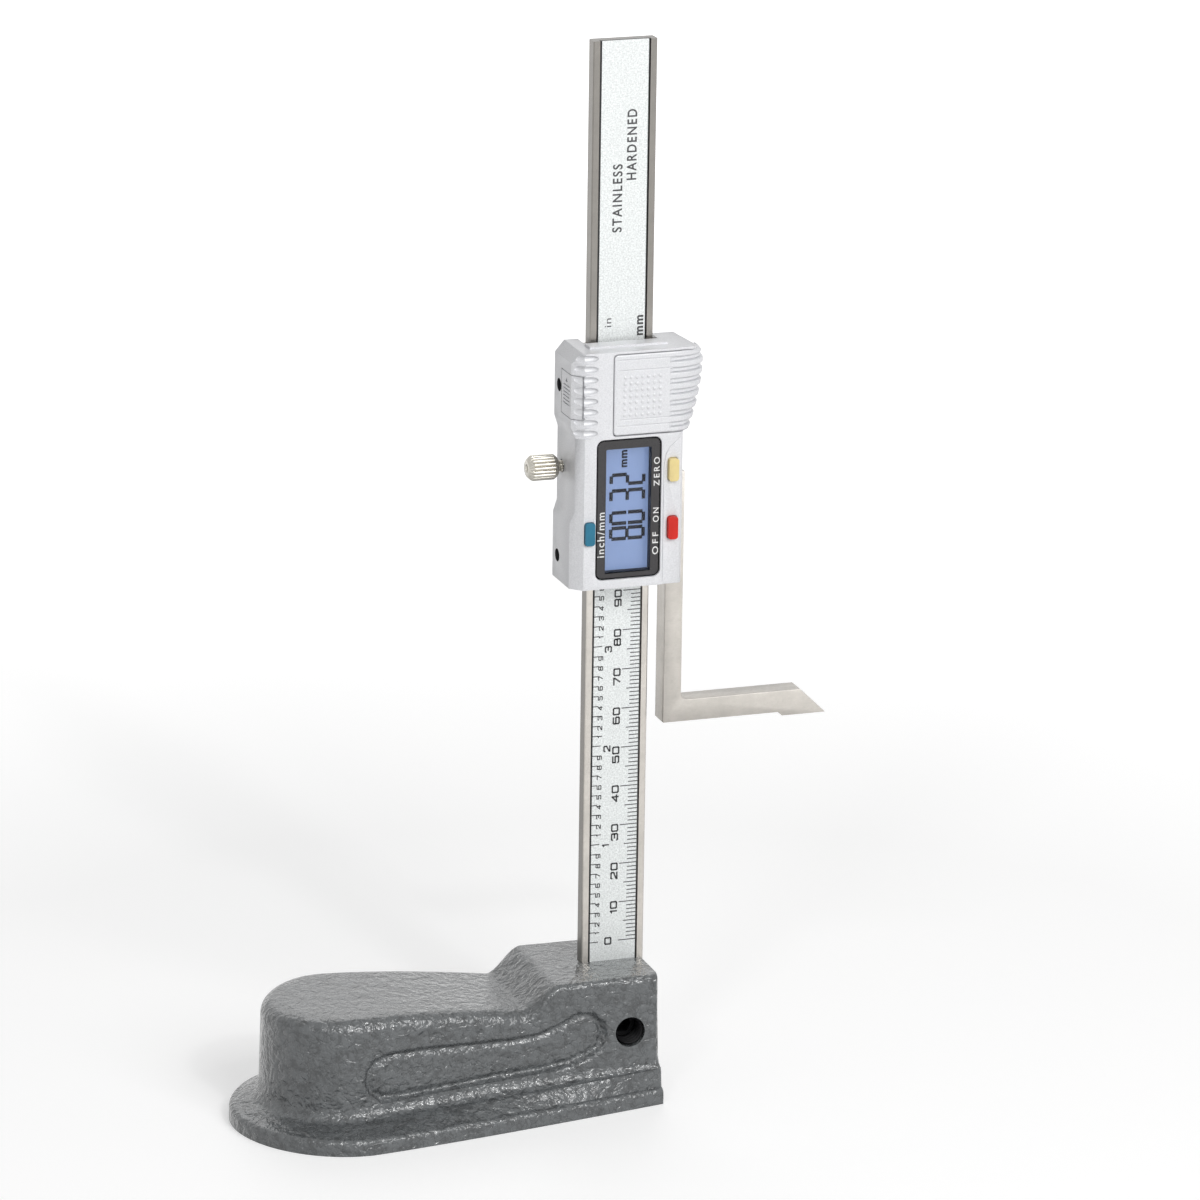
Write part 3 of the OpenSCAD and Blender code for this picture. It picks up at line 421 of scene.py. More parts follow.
def add_node(tree, kind, output=0, inputs=None, **settings):
    """Adds one node to a tree, with its settings and inputs, and returns one of its outputs."""
    made = tree.nodes.new(kind)
    for key, value in settings.items():
        setattr(made, key, value)
    for key, value in (inputs or {}).items():
        feed(tree, made.inputs[key], value)
    return made.outputs[output]


def seen_share(tree):
    """1 where the camera looks, also by reflection or through the window, and 0 for light on the object."""
    rays = tree.nodes.new("ShaderNodeLightPath").outputs
    share = rays["Is Camera Ray"]
    for ray in ("Is Glossy Ray", "Is Transmission Ray"):
        share = add_node(tree, "ShaderNodeMath", inputs={0: share, 1: rays[ray]}, operation="MAXIMUM")
    return share


def shade(colour, share):
    """Colour made lighter or darker."""
    return tuple(min(1.0, c * share) for c in colour)


class Finish:
    """Builds a node material: each call adds a node and returns its output."""

    def __init__(self, name, colour, **shader):
        self.material = bpy.data.materials.new(name)
        self.material.use_nodes = True
        self.tree = self.material.node_tree
        self.shader = self.tree.nodes["Principled BSDF"]
        self.set("Base Color", colour)
        for socket, value in shader.items():
            self.set(socket.replace("_", " ").title().replace("Ior", "IOR"), value)
        self.coordinates = self.add("ShaderNodeTexCoord", "Object")

    def add(self, kind, output=0, inputs=None, **settings):
        """Adds one node with its settings and inputs."""
        return add_node(self.tree, kind, output, inputs, **settings)

    def set(self, socket, value):
        """Gives a shader socket a value or another node's output."""
        feed(self.tree, self.shader.inputs[socket], value)

    def noise(self, per_mm, detail=3.0, roughness=0.6, vector=None, distortion=0.0, output=0):
        """Noise with a given number of features a millimetre."""
        inputs = {"Vector": vector or self.coordinates, "Scale": per_mm / MM, "Detail": detail}
        inputs |= {"Roughness": roughness, "Distortion": distortion}
        return self.add("ShaderNodeTexNoise", output, inputs)

    def cells(self, per_mm, vector=None):
        """Distance to the edges between cells round scattered points."""
        inputs = {"Vector": vector or self.coordinates, "Scale": per_mm / MM}
        return self.add("ShaderNodeTexVoronoi", inputs=inputs, feature="DISTANCE_TO_EDGE")

    def ramp(self, value, low, high, to_low=0, to_high=1, **settings):
        """Maps a value's range to another range."""
        inputs = {"Value": value, "From Min": low, "From Max": high, "To Min": to_low, "To Max": to_high}
        return self.add("ShaderNodeMapRange", inputs=inputs, **settings)

    def blend(self, share, first, second):
        """Colour between two colours."""
        return self.add("ShaderNodeMix", 2, {0: share, 6: first, 7: second}, data_type="RGBA")

    def shades(self, value, low, high, colour, dark, light):
        """The colour from a darker to a lighter shade as a value goes from low to high."""
        return self.blend(self.ramp(value, low, high), shade(colour, dark), shade(colour, light))

    def larger(self, first, second):
        """The larger of two values."""
        return self.add("ShaderNodeMath", operation="MAXIMUM", inputs={0: first, 1: second})

    def rough(self, value, least, most):
        """Roughness between two values, as a noise changes."""
        self.set("Roughness", self.ramp(value, 0.3, 0.7, least, most))

    def bump(self, height, depth_mm, strength=1.0, under=None):
        """Raises the surface by a height of 0 to 1 times a depth."""
        inputs = {"Height": height, "Distance": depth_mm * MM, "Strength": strength}
        if under is not None:
            inputs["Normal"] = under
        made = self.add("ShaderNodeBump", inputs=inputs)
        self.set("Normal", made)
        return made


def hammered_enamel(colour):
    """Glossy enamel with the hammered pattern: uneven dents, cells with broken outlines, and fine grain."""
    made = Finish("hammered_enamel", colour, roughness=0.22, coat_weight=0.6, coat_roughness=0.05)
    inputs = {0: made.noise(0.5, roughness=0.5, output=1), 1: (2.6 * MM,) * 3, 2: made.coordinates}
    warped = made.add("ShaderNodeVectorMath", inputs=inputs, operation="MULTIPLY_ADD")
    cells = made.cells(0.5, warped)
    dents = made.noise(0.42, 2.0, 0.5, distortion=0.6)
    fine = made.noise(2.2)
    painted_reflection_patches = made.noise(0.3, distortion=1.2)
    broken = made.larger(made.ramp(cells, 0.0, 0.07), made.ramp(dents, 0.44, 0.56))
    tone = made.shades(fine, 0.3, 0.7, colour, 0.82, 1.14)
    # Lighter and darker patches in the colour: painted reflection, standing in for the uneven gloss of the
    # hammered enamel
    tone = made.blend(made.ramp(painted_reflection_patches, 0.4, 0.62, 0, 0.8), tone, shade(colour, 1.4))
    tone = made.blend(made.ramp(painted_reflection_patches, 0.46, 0.34, 0, 0.8), tone, shade(colour, 0.58))
    made.set("Base Color", made.blend(broken, shade(colour, 0.55), tone))
    made.rough(fine, 0.14, 0.3)
    dome = made.ramp(cells, 0.0, 0.25, interpolation_type="SMOOTHSTEP")
    middle = made.bump(dome, 0.07, 0.8, under=made.bump(dents, 0.75))
    made.set("Coat Normal", made.bump(fine, 0.06, 0.6, under=middle))
    return made.material


def ground_steel(name, colour, grain, roughness, side=None):
    """Ground steel: fine grinding lines along one axis, stains and slow changes of tone.

    Beyond the side distance on X the tone is painted darker, as painted shade on the sides, and higher up it
    is painted darker, as a painted darker reflection.
    """
    made = Finish(name, colour, metallic=1.0, roughness=roughness)
    stretched = made.add("ShaderNodeMapping", inputs={"Vector": made.coordinates, "Scale": grain})
    lines = made.noise(0.9, 4.0, 0.7, vector=stretched)
    tone = made.noise(0.12, 4.0, 0.7)
    stains = made.noise(0.7, 4.0, 0.75)
    base = made.shades(tone, 0.3, 0.7, colour, 0.88, 1.1)
    base = made.blend(made.ramp(stains, 0.52, 0.75, 0, 0.5), base, shade(colour, 0.78))
    base = made.blend(made.ramp(lines, 0.35, 0.65, 0, 0.22), base, shade(colour, 0.7))
    # Painted light: painted shade on the sides beyond the side distance, and a painted darker reflection
    # higher up
    if side:
        across, up = (made.add("ShaderNodeSeparateXYZ", axis, {0: made.coordinates}) for axis in "XZ")
        away = made.add("ShaderNodeMath", operation="ABSOLUTE", inputs={0: across})
        painted_side_shade = made.ramp(away, side * MM, (side + 0.05) * MM, 0, 0.75)
        base = made.blend(made.larger(painted_side_shade, made.ramp(up, 0.16, 0.2, 0, 0.75)), base, shade(colour, 0.2))
    made.set("Base Color", base)
    made.set("Roughness", made.ramp(lines, 0.25, 0.75, roughness - 0.07, roughness + 0.1))
    made.bump(lines, 0.01, 0.4)
    return made.material


def label_film(colour):
    """Satin metal film with a fine sparkling grain."""
    made = Finish("scale_film", colour, metallic=0.35, roughness=0.42)
    grain = made.noise(2.4, roughness=0.8)
    made.set("Base Color", made.shades(grain, 0.35, 0.65, colour, 0.76, 1.14))
    made.rough(made.noise(0.7), 0.36, 0.5)
    made.bump(grain, 0.01, 0.3)
    return made.material


def silver_paint(colour):
    """Silver-painted plastic: fine metal flake under a satin surface."""
    made = Finish("silver_paint", colour, metallic=0.1, roughness=0.36)
    flake = made.noise(3.2, roughness=0.8)
    made.set("Base Color", made.shades(flake, 0.3, 0.7, colour, 0.87, 1.09))
    made.rough(made.noise(0.12), 0.31, 0.4)
    made.bump(flake, 0.008, 0.3)
    return made.material


def moulded_plastic(name, colour, roughness, texture_mm=0.01, **shader):
    """Moulded plastic with a fine grain and a faint change of tone."""
    made = Finish(name, colour, roughness=roughness, **shader)
    grain = made.noise(4.0, 2.0)
    made.set("Base Color", made.shades(made.noise(0.3, 2.0), 0.3, 0.7, colour, 0.92, 1.05))
    made.rough(grain, roughness - 0.05, roughness + 0.07)
    made.bump(grain, texture_mm, 0.3)
    return made.material


def nickel_plate():
    """Bright nickel plate with small handling marks."""
    made = Finish("nickel_plate", (0.50, 0.48, 0.43), metallic=1.0, roughness=0.2)
    marks = made.noise(1.4, 4.0, 0.7)
    made.rough(marks, 0.14, 0.3)
    made.bump(marks, 0.01, 0.3)
    return made.material


def black_oxide():
    """Black oxide on steel screws."""
    made = Finish("black_oxide", (0.008, 0.008, 0.009), roughness=0.45, specular_ior_level=0.22)
    mottle = made.noise(1.8)
    made.rough(mottle, 0.28, 0.5)
    made.bump(mottle, 0.01, 0.3)
    return made.material


def window_glass():
    """Clear acrylic window."""
    made = Finish("window_acrylic", (0.9, 0.92, 0.95), roughness=0.03, transmission_weight=1.0, ior=1.13)
    made.bump(made.noise(0.05, 2.0), 0.01, 0.1)
    return made.material


def lit_display(colour):
    """Display glass lit from behind, with slow changes of brightness."""
    made = Finish("lit_display", shade(colour, 0.45), roughness=0.25, emission_strength=0.55)
    made.set("Emission Color", made.shades(made.noise(0.06, 2.0), 0.3, 0.7, colour, 0.93, 1.06))
    return made.material


def printed_ink(name, colour, roughness=0.5):
    """Printed ink, with thin places in it."""
    made = Finish(name, colour, roughness=roughness)
    thin = made.noise(2.5)
    made.set("Base Color", made.blend(made.ramp(thin, 0.35, 0.75), colour, tuple(c + 0.04 for c in colour)))
    made.bump(thin, 0.004, 0.2)
    return made.material


def circuit_laminate():
    """Green circuit board with a faint track pattern."""
    colour, between = (0.012, 0.10, 0.045), (0.03, 0.2, 0.09)
    made = Finish("circuit_laminate", colour, roughness=0.35, coat_weight=0.3)
    tracks = made.cells(0.7)
    made.set("Base Color", made.blend(made.ramp(tracks, 0.05, 0.12), between, colour))
    made.bump(tracks, 0.02, 0.3)
    return made.material


FINISHES = {}


def finish(name):
    """One of the finishes, made once from the panel's colours."""
    colours = bpy.context.scene.gauge_colours
    steel, weak = colours.steel, {"specular_ior_level": 0.25}
    makers = {
        "enamel": lambda: hammered_enamel(colours.enamel),
        # The beam's steel gets painted shade on its sides and a painted darker reflection higher up
        "beam_steel": lambda: ground_steel("beam_steel", steel, (26, 26, 1), 0.3, side=7.93),
        "frame_steel": lambda: ground_steel("frame_steel", shade(steel, 0.74), (1, 1, 20), 0.34),
        "screw_steel": lambda: ground_steel("screw_steel", shade(steel, 0.3), (5, 5, 5), 0.36),
        "scriber_steel": lambda: ground_steel("scriber_steel", shade(steel, 0.88), (1, 1, 14), 0.33),
        "label": lambda: label_film(colours.label),
        "silver": lambda: silver_paint(colours.silver),
        "nickel": nickel_plate,
        "oxide": black_oxide,
        "brass": lambda: ground_steel("gib_brass", (0.66, 0.45, 0.17), (1, 1, 10), 0.28),
        "gilt": lambda: ground_steel("contact_gilt", (0.83, 0.62, 0.28), (8, 1, 1), 0.22),
        "cell": lambda: ground_steel("cell_steel", (0.46, 0.46, 0.445), (6, 6, 6), 0.36),
        "window": window_glass,
        "bezel": lambda: moulded_plastic("bezel_print", colours.bezel, 0.3, 0.004, **weak),
        "dark": lambda: moulded_plastic("dark_plastic", (0.012, 0.012, 0.014), 0.5),
        "display": lambda: lit_display(colours.display),
        "ink": lambda: printed_ink("scale_ink", colours.ink),
        "segments": lambda: printed_ink("display_segments", (0.002, 0.003, 0.008), 0.7),
        "white_print": lambda: printed_ink("white_print", (0.75, 0.75, 0.74), 0.45),
        "yellow": lambda: moulded_plastic("yellow_plastic", colours.yellow, 0.32),
        "red": lambda: moulded_plastic("red_plastic", colours.red, 0.34, **weak),
        "blue": lambda: moulded_plastic("blue_plastic", colours.blue, 0.34, **weak),
        "board": circuit_laminate,
        "resin": lambda: moulded_plastic("black_resin", (0.01, 0.01, 0.011), 0.15),
        "rubber": lambda: moulded_plastic("pad_rubber", (0.16, 0.16, 0.165), 0.7, 0.02),
        "milky": lambda: moulded_plastic("diffuser", (0.8, 0.83, 0.9), 0.4),
    }
    if name not in FINISHES:
        FINISHES[name] = makers[name]()
    return FINISHES[name]


# The base casting, in millimetres

BASE_END, BLOCK_H = BASE_HIGH[0], BASE_HIGH[2]
BASE_REACH = -BASE_LOW[0]
SOLE_W = BASE_HIGH[1] - BASE_LOW[1]
SOLE_SHIFT = -(BASE_HIGH[1] + BASE_LOW[1]) / 2
ROUND_X = -70.0
RAMP_X = (-27.6, -18.2)
BODY_INSET = 7.9
SOLE_END_W, BODY_W, BLOCK_W = 37.0, 39.2, 32.1
SOLE_POWER, BODY_POWER, ROUND_POWER = 1.25, 1.8, 1.92
DECK_Z = (28.5, 26.7)
DECK_RISE = 2.4
END_R = 1.3
WALL_DRAFT = 0.5
FOOT_Z = (5.2, 9.6)
CROWN_R = (3.4, 1.6)
# Most of the flange that its rounded edge and its fillet may each take, and the fillet's own rise
EDGE_SHARE, ROOT_SHARE = 0.42, 0.35
# Gully just inside the panel's edge: share of the panel's depth, and half width
GULLY_SHARE, GULLY_W = 0.4, 0.8
# The right end's flare: how far over the flange it has faded in, and how far it reaches along X
FLARE_Z, FLARE_X = (4.0, 10.0), 3.0
# Gap round the beam and round the set screw
HOLE_GAP = 0.05
SOCKET_R, SOCKET_Z = (SOCKET_HIGH[2] - SOCKET_LOW[2]) / 2, (SOCKET_LOW[2] + SOCKET_HIGH[2]) / 2
# Thread in the set screw's hole: how far inside the wall, its depth, and its ends in front of the beam
THREAD_INSET, THREAD_DEPTH, THREAD_Y = 0.35, 0.6, (9.9, 15.4)
# The relief ends before the block, and only where it is this wide
RELIEF_END, RELIEF_LEAST = -22.0, 0.2
# The panel's outline, as shares of the base's reach and the block's height
PANEL_SHARES = np.array([
    [0.671, 0.258], [0.702, 0.328], [0.714, 0.44], [0.708, 0.54], [0.685, 0.616], [0.648, 0.656],
    [0.559, 0.664], [0.437, 0.652], [0.306, 0.642], [0.24, 0.66], [0.19, 0.715], [0.14, 0.782],
    [0.098, 0.765], [0.064, 0.68], [0.056, 0.553], [0.071, 0.456], [0.108, 0.386], [0.165, 0.341],
    [0.231, 0.314], [0.354, 0.298], [0.436, 0.28], [0.517, 0.263], [0.599, 0.25],
])


def run_share(x):
    """Share of the way from the middle of the round end to the right end."""
    return np.clip((x - ROUND_X) / (BASE_END - ROUND_X), 0, 1)


def ramp_share(x):
    """Smooth share of the way up the ramp."""
    return smoothed((x - RAMP_X[0]) / (RAMP_X[1] - RAMP_X[0]))


def set_forward(x):
    """How far the sole is set forward: all of the shift at the round end, and none at the right end."""
    return SOLE_SHIFT * (1 - run_share(x))


def base_stations():
    """Sole, body and centre points of each column, along the straight side and round the left end.

    Straight: y falls from the end width to the sole width by a power of the run. Round end: superellipses,
    x = centre - length sin(a)^(2/p) and y = -half cos(a)^(2/p).
    """
    x = BASE_END - END_R * (1 - np.cos(quarter(7)))
    for stop, steps in ((RAMP_X[1], 50), (RAMP_X[0], 26), (ROUND_X, 130)):
        x = np.concatenate([x, np.linspace(x[-1], stop, steps)[1:]])
    run = run_share(x)
    sole_y = -mixed(SOLE_W, SOLE_END_W, run**SOLE_POWER) / 2
    rounding = END_R - np.sqrt(np.maximum(END_R**2 - np.maximum(x - BASE_END + END_R, 0) ** 2, 0))
    body_y = rounding - mixed(BLOCK_W, BODY_W, (1 - run) ** BODY_POWER) / 2
    a = quarter(100)[1:]
    sine, cosine = np.sin(a), np.clip(np.cos(a), 0, 1)
    power = 2 / ROUND_POWER
    sole_l, body_l = BASE_REACH + ROUND_X, BASE_REACH - BODY_INSET + ROUND_X
    round_sole = np.stack([ROUND_X - sole_l * sine**power, -SOLE_W / 2 * cosine**power], -1)
    round_body = np.stack([ROUND_X - body_l * sine, -BODY_W / 2 * cosine], -1)
    sole = np.concatenate([np.stack([x, sole_y], -1), round_sole])
    body = np.concatenate([np.stack([x, body_y], -1), round_body])
    centre = np.concatenate([np.stack([x, 0 * x], -1), np.tile([ROUND_X, 0], (len(a), 1))])
    return sole, body, centre


def deck_height(x):
    """Height of the top: a sloping deck, then an S-shaped ramp up to the block."""
    share = np.clip((x + BASE_REACH) / (RAMP_X[0] + BASE_REACH), 0, 1)
    deck = mixed(DECK_Z[0], DECK_Z[1], smoothed(share)) + DECK_RISE * 4 * share * (1 - share)
    return mixed(deck, BLOCK_H, ramp_share(x))


def ring(plan, height):
    """One ring of points, with a plan and one height or a height for each."""
    height = np.broadcast_to(np.asarray(height, float).reshape(-1, 1), (len(plan), 1))
    return np.concatenate([plan, height], 1)


def base_surface(sizes, side):
    """Columns of points: the sole's middle, its edge, over the flange, up the wall, and in over the top.

    Flange and top edges are quarter circles, the flange's foot is a hollow quarter circle, and the side
    panel pushes the wall in by depth * smooth(distance inside its outline / edge width), a little more just
    inside it. side is 1 for the front and -1 for the back, which is mirrored afterwards: the round end is
    set forward.
    """
    sole, body, centre = base_stations()
    ahead = set_forward(sole[:, 0])
    sole = sole - np.stack([0 * ahead, side * ahead], -1)
    middle = np.stack([centre[:, 0], -side * ahead], -1)
    flange = np.linalg.norm(body - sole, axis=1)
    inward = (centre - body) / np.maximum(np.linalg.norm(centre - body, axis=1), 1e-9)[:, None]
    across = (body - sole) / np.maximum(flange, 1e-9)[:, None]
    x = body[:, 0]
    foot = mixed(*FOOT_Z, run_share(x))
    edge = np.minimum(sizes.flange_edge_r, flange * EDGE_SHARE)
    fillet = np.minimum(sizes.fillet_r, flange * EDGE_SHARE)
    root = mixed(sizes.flange_t, foot, 1 - fillet / flange * ROOT_SHARE)
    crown = mixed(*CROWN_R, ramp_share(x))

    rings = [ring(mixed(middle, sole, s), 0) for s in np.linspace(0, 1, 6)]
    for a in quarter(7):
        height = sizes.flange_t - edge * (1 - np.sin(a))
        rings.append(ring(sole + across * (edge * (1 - np.cos(a)))[:, None], height))
    start, stop = sole + across * edge[:, None], body - across * fillet[:, None]
    for s in np.linspace(0, 1, 8)[1:-1]:
        rings.append(ring(mixed(start, stop, s), mixed(sizes.flange_t, root, s)))
    for a in quarter(9):
        plan = body - across * (fillet * (1 - np.sin(a)))[:, None]
        rings.append(ring(plan, mixed(root, foot + fillet, 1 - np.cos(a))))
    low, high = foot + fillet, deck_height(x) - crown
    wall_from = len(rings)
    for s in np.linspace(0, 1, 60)[1:-1]:
        rings.append(ring(body + inward * WALL_DRAFT * s, mixed(low, high, s)))
    wall_to = len(rings)
    for a in quarter(9):
        plan = body + inward * (WALL_DRAFT + crown * (1 - np.cos(a)))[:, None]
        rings.append(ring(plan, high + crown * np.sin(a)))
    brim = body + inward * (WALL_DRAFT + crown)[:, None]
    for s in np.linspace(0, 1, 14)[1:]:
        plan = mixed(brim, centre, s)
        rings.append(ring(plan, deck_height(plan[:, 0])))
    surface = np.stack(rings, 1)

    wall = surface[:, wall_from:wall_to]
    outline = PANEL_SHARES * [-BASE_REACH, BLOCK_H]
    depth = outline_distance(wall[..., [0, 2]].reshape(-1, 2), outline).reshape(wall.shape[:2])
    gully = GULLY_SHARE * np.exp(-(((depth - sizes.panel_edge) / GULLY_W) ** 2))
    hollow = smoothed(depth / sizes.panel_edge + 0.1) + gully * smoothed(depth / 0.5 + 0.5)
    wall[..., :2] += inward[:, None] * (sizes.panel_depth * hollow)[..., None]
    over_flange = (surface[..., 2] - sizes.flange_t - FLARE_Z[0]) / (FLARE_Z[1] - FLARE_Z[0])
    near_end = (surface[..., 0] - BASE_END + FLARE_X) / FLARE_X
    surface[..., 0] -= sizes.end_flare * smoothed(over_flange) * smoothed(near_end)
    return surface


def base_mesh(sizes):
    """The front's columns, then the back's mirrored ones, with one face over the flat right end."""
    front = base_surface(sizes, 1)
    back = base_surface(sizes, -1)[-2::-1] * [1, -1, 1]
    whole = np.concatenate([front, back])
    rows, columns = whole.shape[:2]
    faces = grid_faces(rows, columns)
    last = (rows - 1) * columns
    faces.append([*range(columns), *range(last + columns - 2, last, -1)])
    return mesh_of("base_enamel", whole.reshape(-1, 3), faces)


def relief_prism(sizes):
    """Outline of the sole drawn in by the rim along its normals, as a shallow prism."""
    sole = base_stations()[0]
    sole = sole[sole[:, 0] < RELIEF_END]
    inner = sole + sideways(sole) * sizes.relief_rim
    ahead = set_forward(sole[:, 0])
    keep = inner[:, 1] < -RELIEF_LEAST
    inner, ahead = inner[keep][::3], ahead[keep][::3]
    drop = np.stack([0 * ahead, ahead], -1)
    outline = np.concatenate([inner - drop, inner[::-1] * [1, -1] - drop[::-1]])
    return prism(outline, -CUT_OVER, sizes.relief_depth, "Z")


class GAUGE_OT_base(bpy.types.Operator):
    """Makes the enamelled casting, with its slot, set screw hole and relief"""

    bl_idname = "gauge.base"
    bl_label = "Base casting"

    def execute(self, context):
        sizes = context.scene.gauge_base
        piece = link(base_mesh(sizes), "stand")
        slot = block(
            (BEAM_LOW[0] - HOLE_GAP, BEAM_LOW[1] - HOLE_GAP, BEAM_LOW[2]),
            (BEAM_HIGH[0] + CUT_OVER, BEAM_HIGH[1] + HOLE_GAP, BLOCK_H + CUT_OVER),
        )
        hole = prism(circle(SOCKET_R + HOLE_GAP, 64) + [0, SOCKET_Z], -SOLE_W / 2, 0, "Y")
        carve(piece, [slot, hole, relief_prism(sizes)])
        keep_sharp(piece.data, 50)
        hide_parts("base_casting")
        coat(piece, "enamel")
        return {"FINISHED"}


class GAUGE_OT_set_screw(bpy.types.Operator):
    """Makes the set screw and the thread that shows in its hole"""

    bl_idname = "gauge.set_screw"
    bl_label = "Set screw"

    def execute(self, context):
        pitch = context.scene.gauge_base.thread_pitch
        points, faces = screw_thread(SOCKET_R - THREAD_INSET, THREAD_DEPTH, pitch, *THREAD_Y)
        placed = np.stack([points[:, 1], -points[:, 0], points[:, 2] + SOCKET_Z], -1)
        mesh = mesh_of("set_screw_thread", placed, faces)
        mesh.flip_normals()
        link(mesh, "stand", "oxide")
        coat_nodes(set_screw="oxide")
        return {"FINISHED"}


# The beam and its scale, in millimetres

INCH = 25.4
# What is printed on: depth on Y, body, slot and finish of the print
PRINT_LIFT = 0.012
SCALE_PRINT = LABEL_LOW[1] - PRINT_LIFT, "stand", "scale_film", "ink"
# Strokes of each digit, in shares of its width and height
DIGIT_SHARES = {
    "0": [[(0.12, 0), (0.88, 0), (1, 0.12), (1, 0.88), (0.88, 1), (0.12, 1), (0, 0.88), (0, 0.12),
           (0.12, 0)]],
    "1": [[(0.1, 0.82), (0.9, 1), (0.9, 0)]],
    "2": [[(0, 0.84), (0.12, 1), (0.88, 1), (1, 0.88), (1, 0.62), (0.88, 0.5), (0.1, 0.16), (0, 0), (1, 0)]],
    "3": [[(0, 0.88), (0.12, 1), (0.88, 1), (1, 0.88), (1, 0.6), (0.88, 0.52), (0.35, 0.52)],
          [(0.88, 0.52), (1, 0.42), (1, 0.12), (0.88, 0), (0.12, 0), (0, 0.12)]],
    "4": [[(0.74, 0), (0.74, 1), (0, 0.27), (1, 0.27)]],
    "5": [[(0.95, 1), (0.05, 1), (0.03, 0.58), (0.88, 0.58), (1, 0.48), (1, 0.12), (0.88, 0), (0.12, 0),
           (0, 0.12)]],
    "6": [[(0.95, 1), (0.14, 1), (0, 0.86), (0, 0.12), (0.12, 0), (0.88, 0), (1, 0.12), (1, 0.46),
           (0.88, 0.57), (0, 0.57)]],
    "7": [[(0, 1), (1, 1), (1, 0.86), (0.42, 0)]],
    "8": [[(0.14, 0.53), (0.05, 0.64), (0.05, 0.88), (0.16, 1), (0.84, 1), (0.95, 0.88), (0.95, 0.64),
           (0.86, 0.53), (1, 0.42), (1, 0.12), (0.88, 0), (0.12, 0), (0, 0.12), (0, 0.42), (0.14, 0.53),
           (0.86, 0.53)]],
    "9": [[(0.05, 0), (0.86, 0), (1, 0.14), (1, 0.88), (0.88, 1), (0.12, 1), (0, 0.88), (0, 0.54),
           (0.12, 0.43), (1, 0.43)]],
}
# A figure one is narrower than the others, and a stroke runs on past its ends by a share of its width
ONE_SHARE, OVERRUN_SHARE = 0.35, 0.4
# Words on the scale: foot on X and start below the beam's top, cap height and length, spacing, boldness
SCALE_WORDS = (
    ("in", (-2.6, -69.75), (1.6, 2.15), 1.1, 0),
    ("mm", (5.4, -72.3), (1.5, 5.0), 1.15, 0.05),
    ("STAINLESS", (-0.3, -46.6), (2.45, 16.6), 1.25, 0.05),
    ("HARDENED", (3.15, -34.0), (2.45, 17.2), 1.25, 0.05),
)
# Words that stand on the letters' own line
LINE_WORDS = ("in", "mm")
# Numbers: foot on X and end above their line on Z
ZERO_AT, TEN_AT, TENTH_AT, INCH_AT = (-0.45, 0.85), (0.9, 0.1), (-3.55, -0.05), (-1.4, -0.25)
# Their gap and stroke, and before these the width and height of the inch scale's
TEN_GAPS, TENTH_DIGIT, INCH_DIGIT = (0.72, 0.4), (0.9, 1.0, 0.4, 0.25), (1.3, 1.5, 0.4, 0.36)


def ribbons(lines, width):
    """Flat bars of a given width along each pair of points, facing forwards in the XZ plane."""
    a, b = lines[:, 0], lines[:, 1]
    way = (b - a) / np.maximum(np.linalg.norm(b - a, axis=1), 1e-9)[:, None] * width
    side = np.stack([-way[:, 1], way[:, 0]], -1) / 2
    a, b = a - way * OVERRUN_SHARE, b + way * OVERRUN_SHARE
    return np.stack([a - side, b - side, b + side, a + side], 1)


def number_lines(text, right, base, width, height, gap):
    """Strokes of a number read upwards: right is where it ends on Z, and base is its foot on X."""
    lines = []
    for digit in reversed(text):
        wide = width * (ONE_SHARE if digit == "1" else 1)
        right -= wide
        for stroke in DIGIT_SHARES[digit]:
            p = np.array(stroke)
            placed = np.stack([base - p[:, 1] * height, right + p[:, 0] * wide], -1)
            lines.append(np.stack([placed[:-1], placed[1:]], 1))
        right -= gap
    return np.concatenate(lines)


def flat_print(name, quads, ground):
    """Printed mark: flat four-sided bars in the XZ plane, on its ground."""
    y, body, slot, look = ground
    points = np.insert(quads.reshape(-1, 2), 1, y, axis=1)
    return link(plain_mesh(name, points, np.arange(len(points)).reshape(-1, 4)), body, look)


def lettering(name, ground, text, corner, size, spacing, bold):
    """Word read upwards, as a flat mesh.

    corner is the foot of its first letter on X and Z, and size its cap height and its length.
    """
    y, body, slot, look = ground
    curve = bpy.data.curves.new(name, "FONT")
    curve.body = text
    curve.size = MM
    curve.space_character = spacing
    curve.offset = bold * MM / size[0]
    maker = bpy.data.objects.new(name, curve)
    bpy.context.scene.collection.objects.link(maker)
    bpy.context.view_layer.update()
    mesh = bpy.data.meshes.new_from_object(maker.evaluated_get(bpy.context.evaluated_depsgraph_get()))
    bpy.data.objects.remove(maker)
    flat = np.zeros(len(mesh.vertices) * 3)
    mesh.vertices.foreach_get("co", flat)
    flat = flat.reshape(-1, 3)
    low = flat.min(0)
    if text in LINE_WORDS:
        low[1] = 0
    share = (flat - low) / (flat.max(0) - low + [0, 0, 1])
    across, up = corner[0] - share[:, 1] * size[0], corner[1] + share[:, 0] * size[1]
    placed = np.stack([across, np.full(len(flat), y), up], -1)
    mesh.vertices.foreach_set("co", (placed * MM).ravel())
    mesh.name = name
    return link(mesh, body, look)


def scale_bars(sizes):
    """Lines of both scales: millimetres from the right edge, and tenths of an inch from the left edge."""
    lines = []
    for edge, way, pitch, kinds in (
        (LABEL_HIGH[0], -1, 1, (sizes.short_l, sizes.middle_l, sizes.long_l)),
        (LABEL_LOW[0], 1, INCH / 10, (sizes.tenth_l, sizes.tenth_l, sizes.inch_l)),
    ):
        k = np.arange(int(sizes.count / pitch) + 1)
        reach = np.where(k % 10 == 0, kinds[2], np.where(k % 5 == 0, kinds[1], kinds[0]))
        z = sizes.zero_z + k * pitch
        ends = np.stack([edge + 0 * z, z], -1), np.stack([edge + way * reach, z], -1)
        lines.append(np.stack(ends[::way], 1))
    return ribbons(np.concatenate(lines), sizes.line_w)


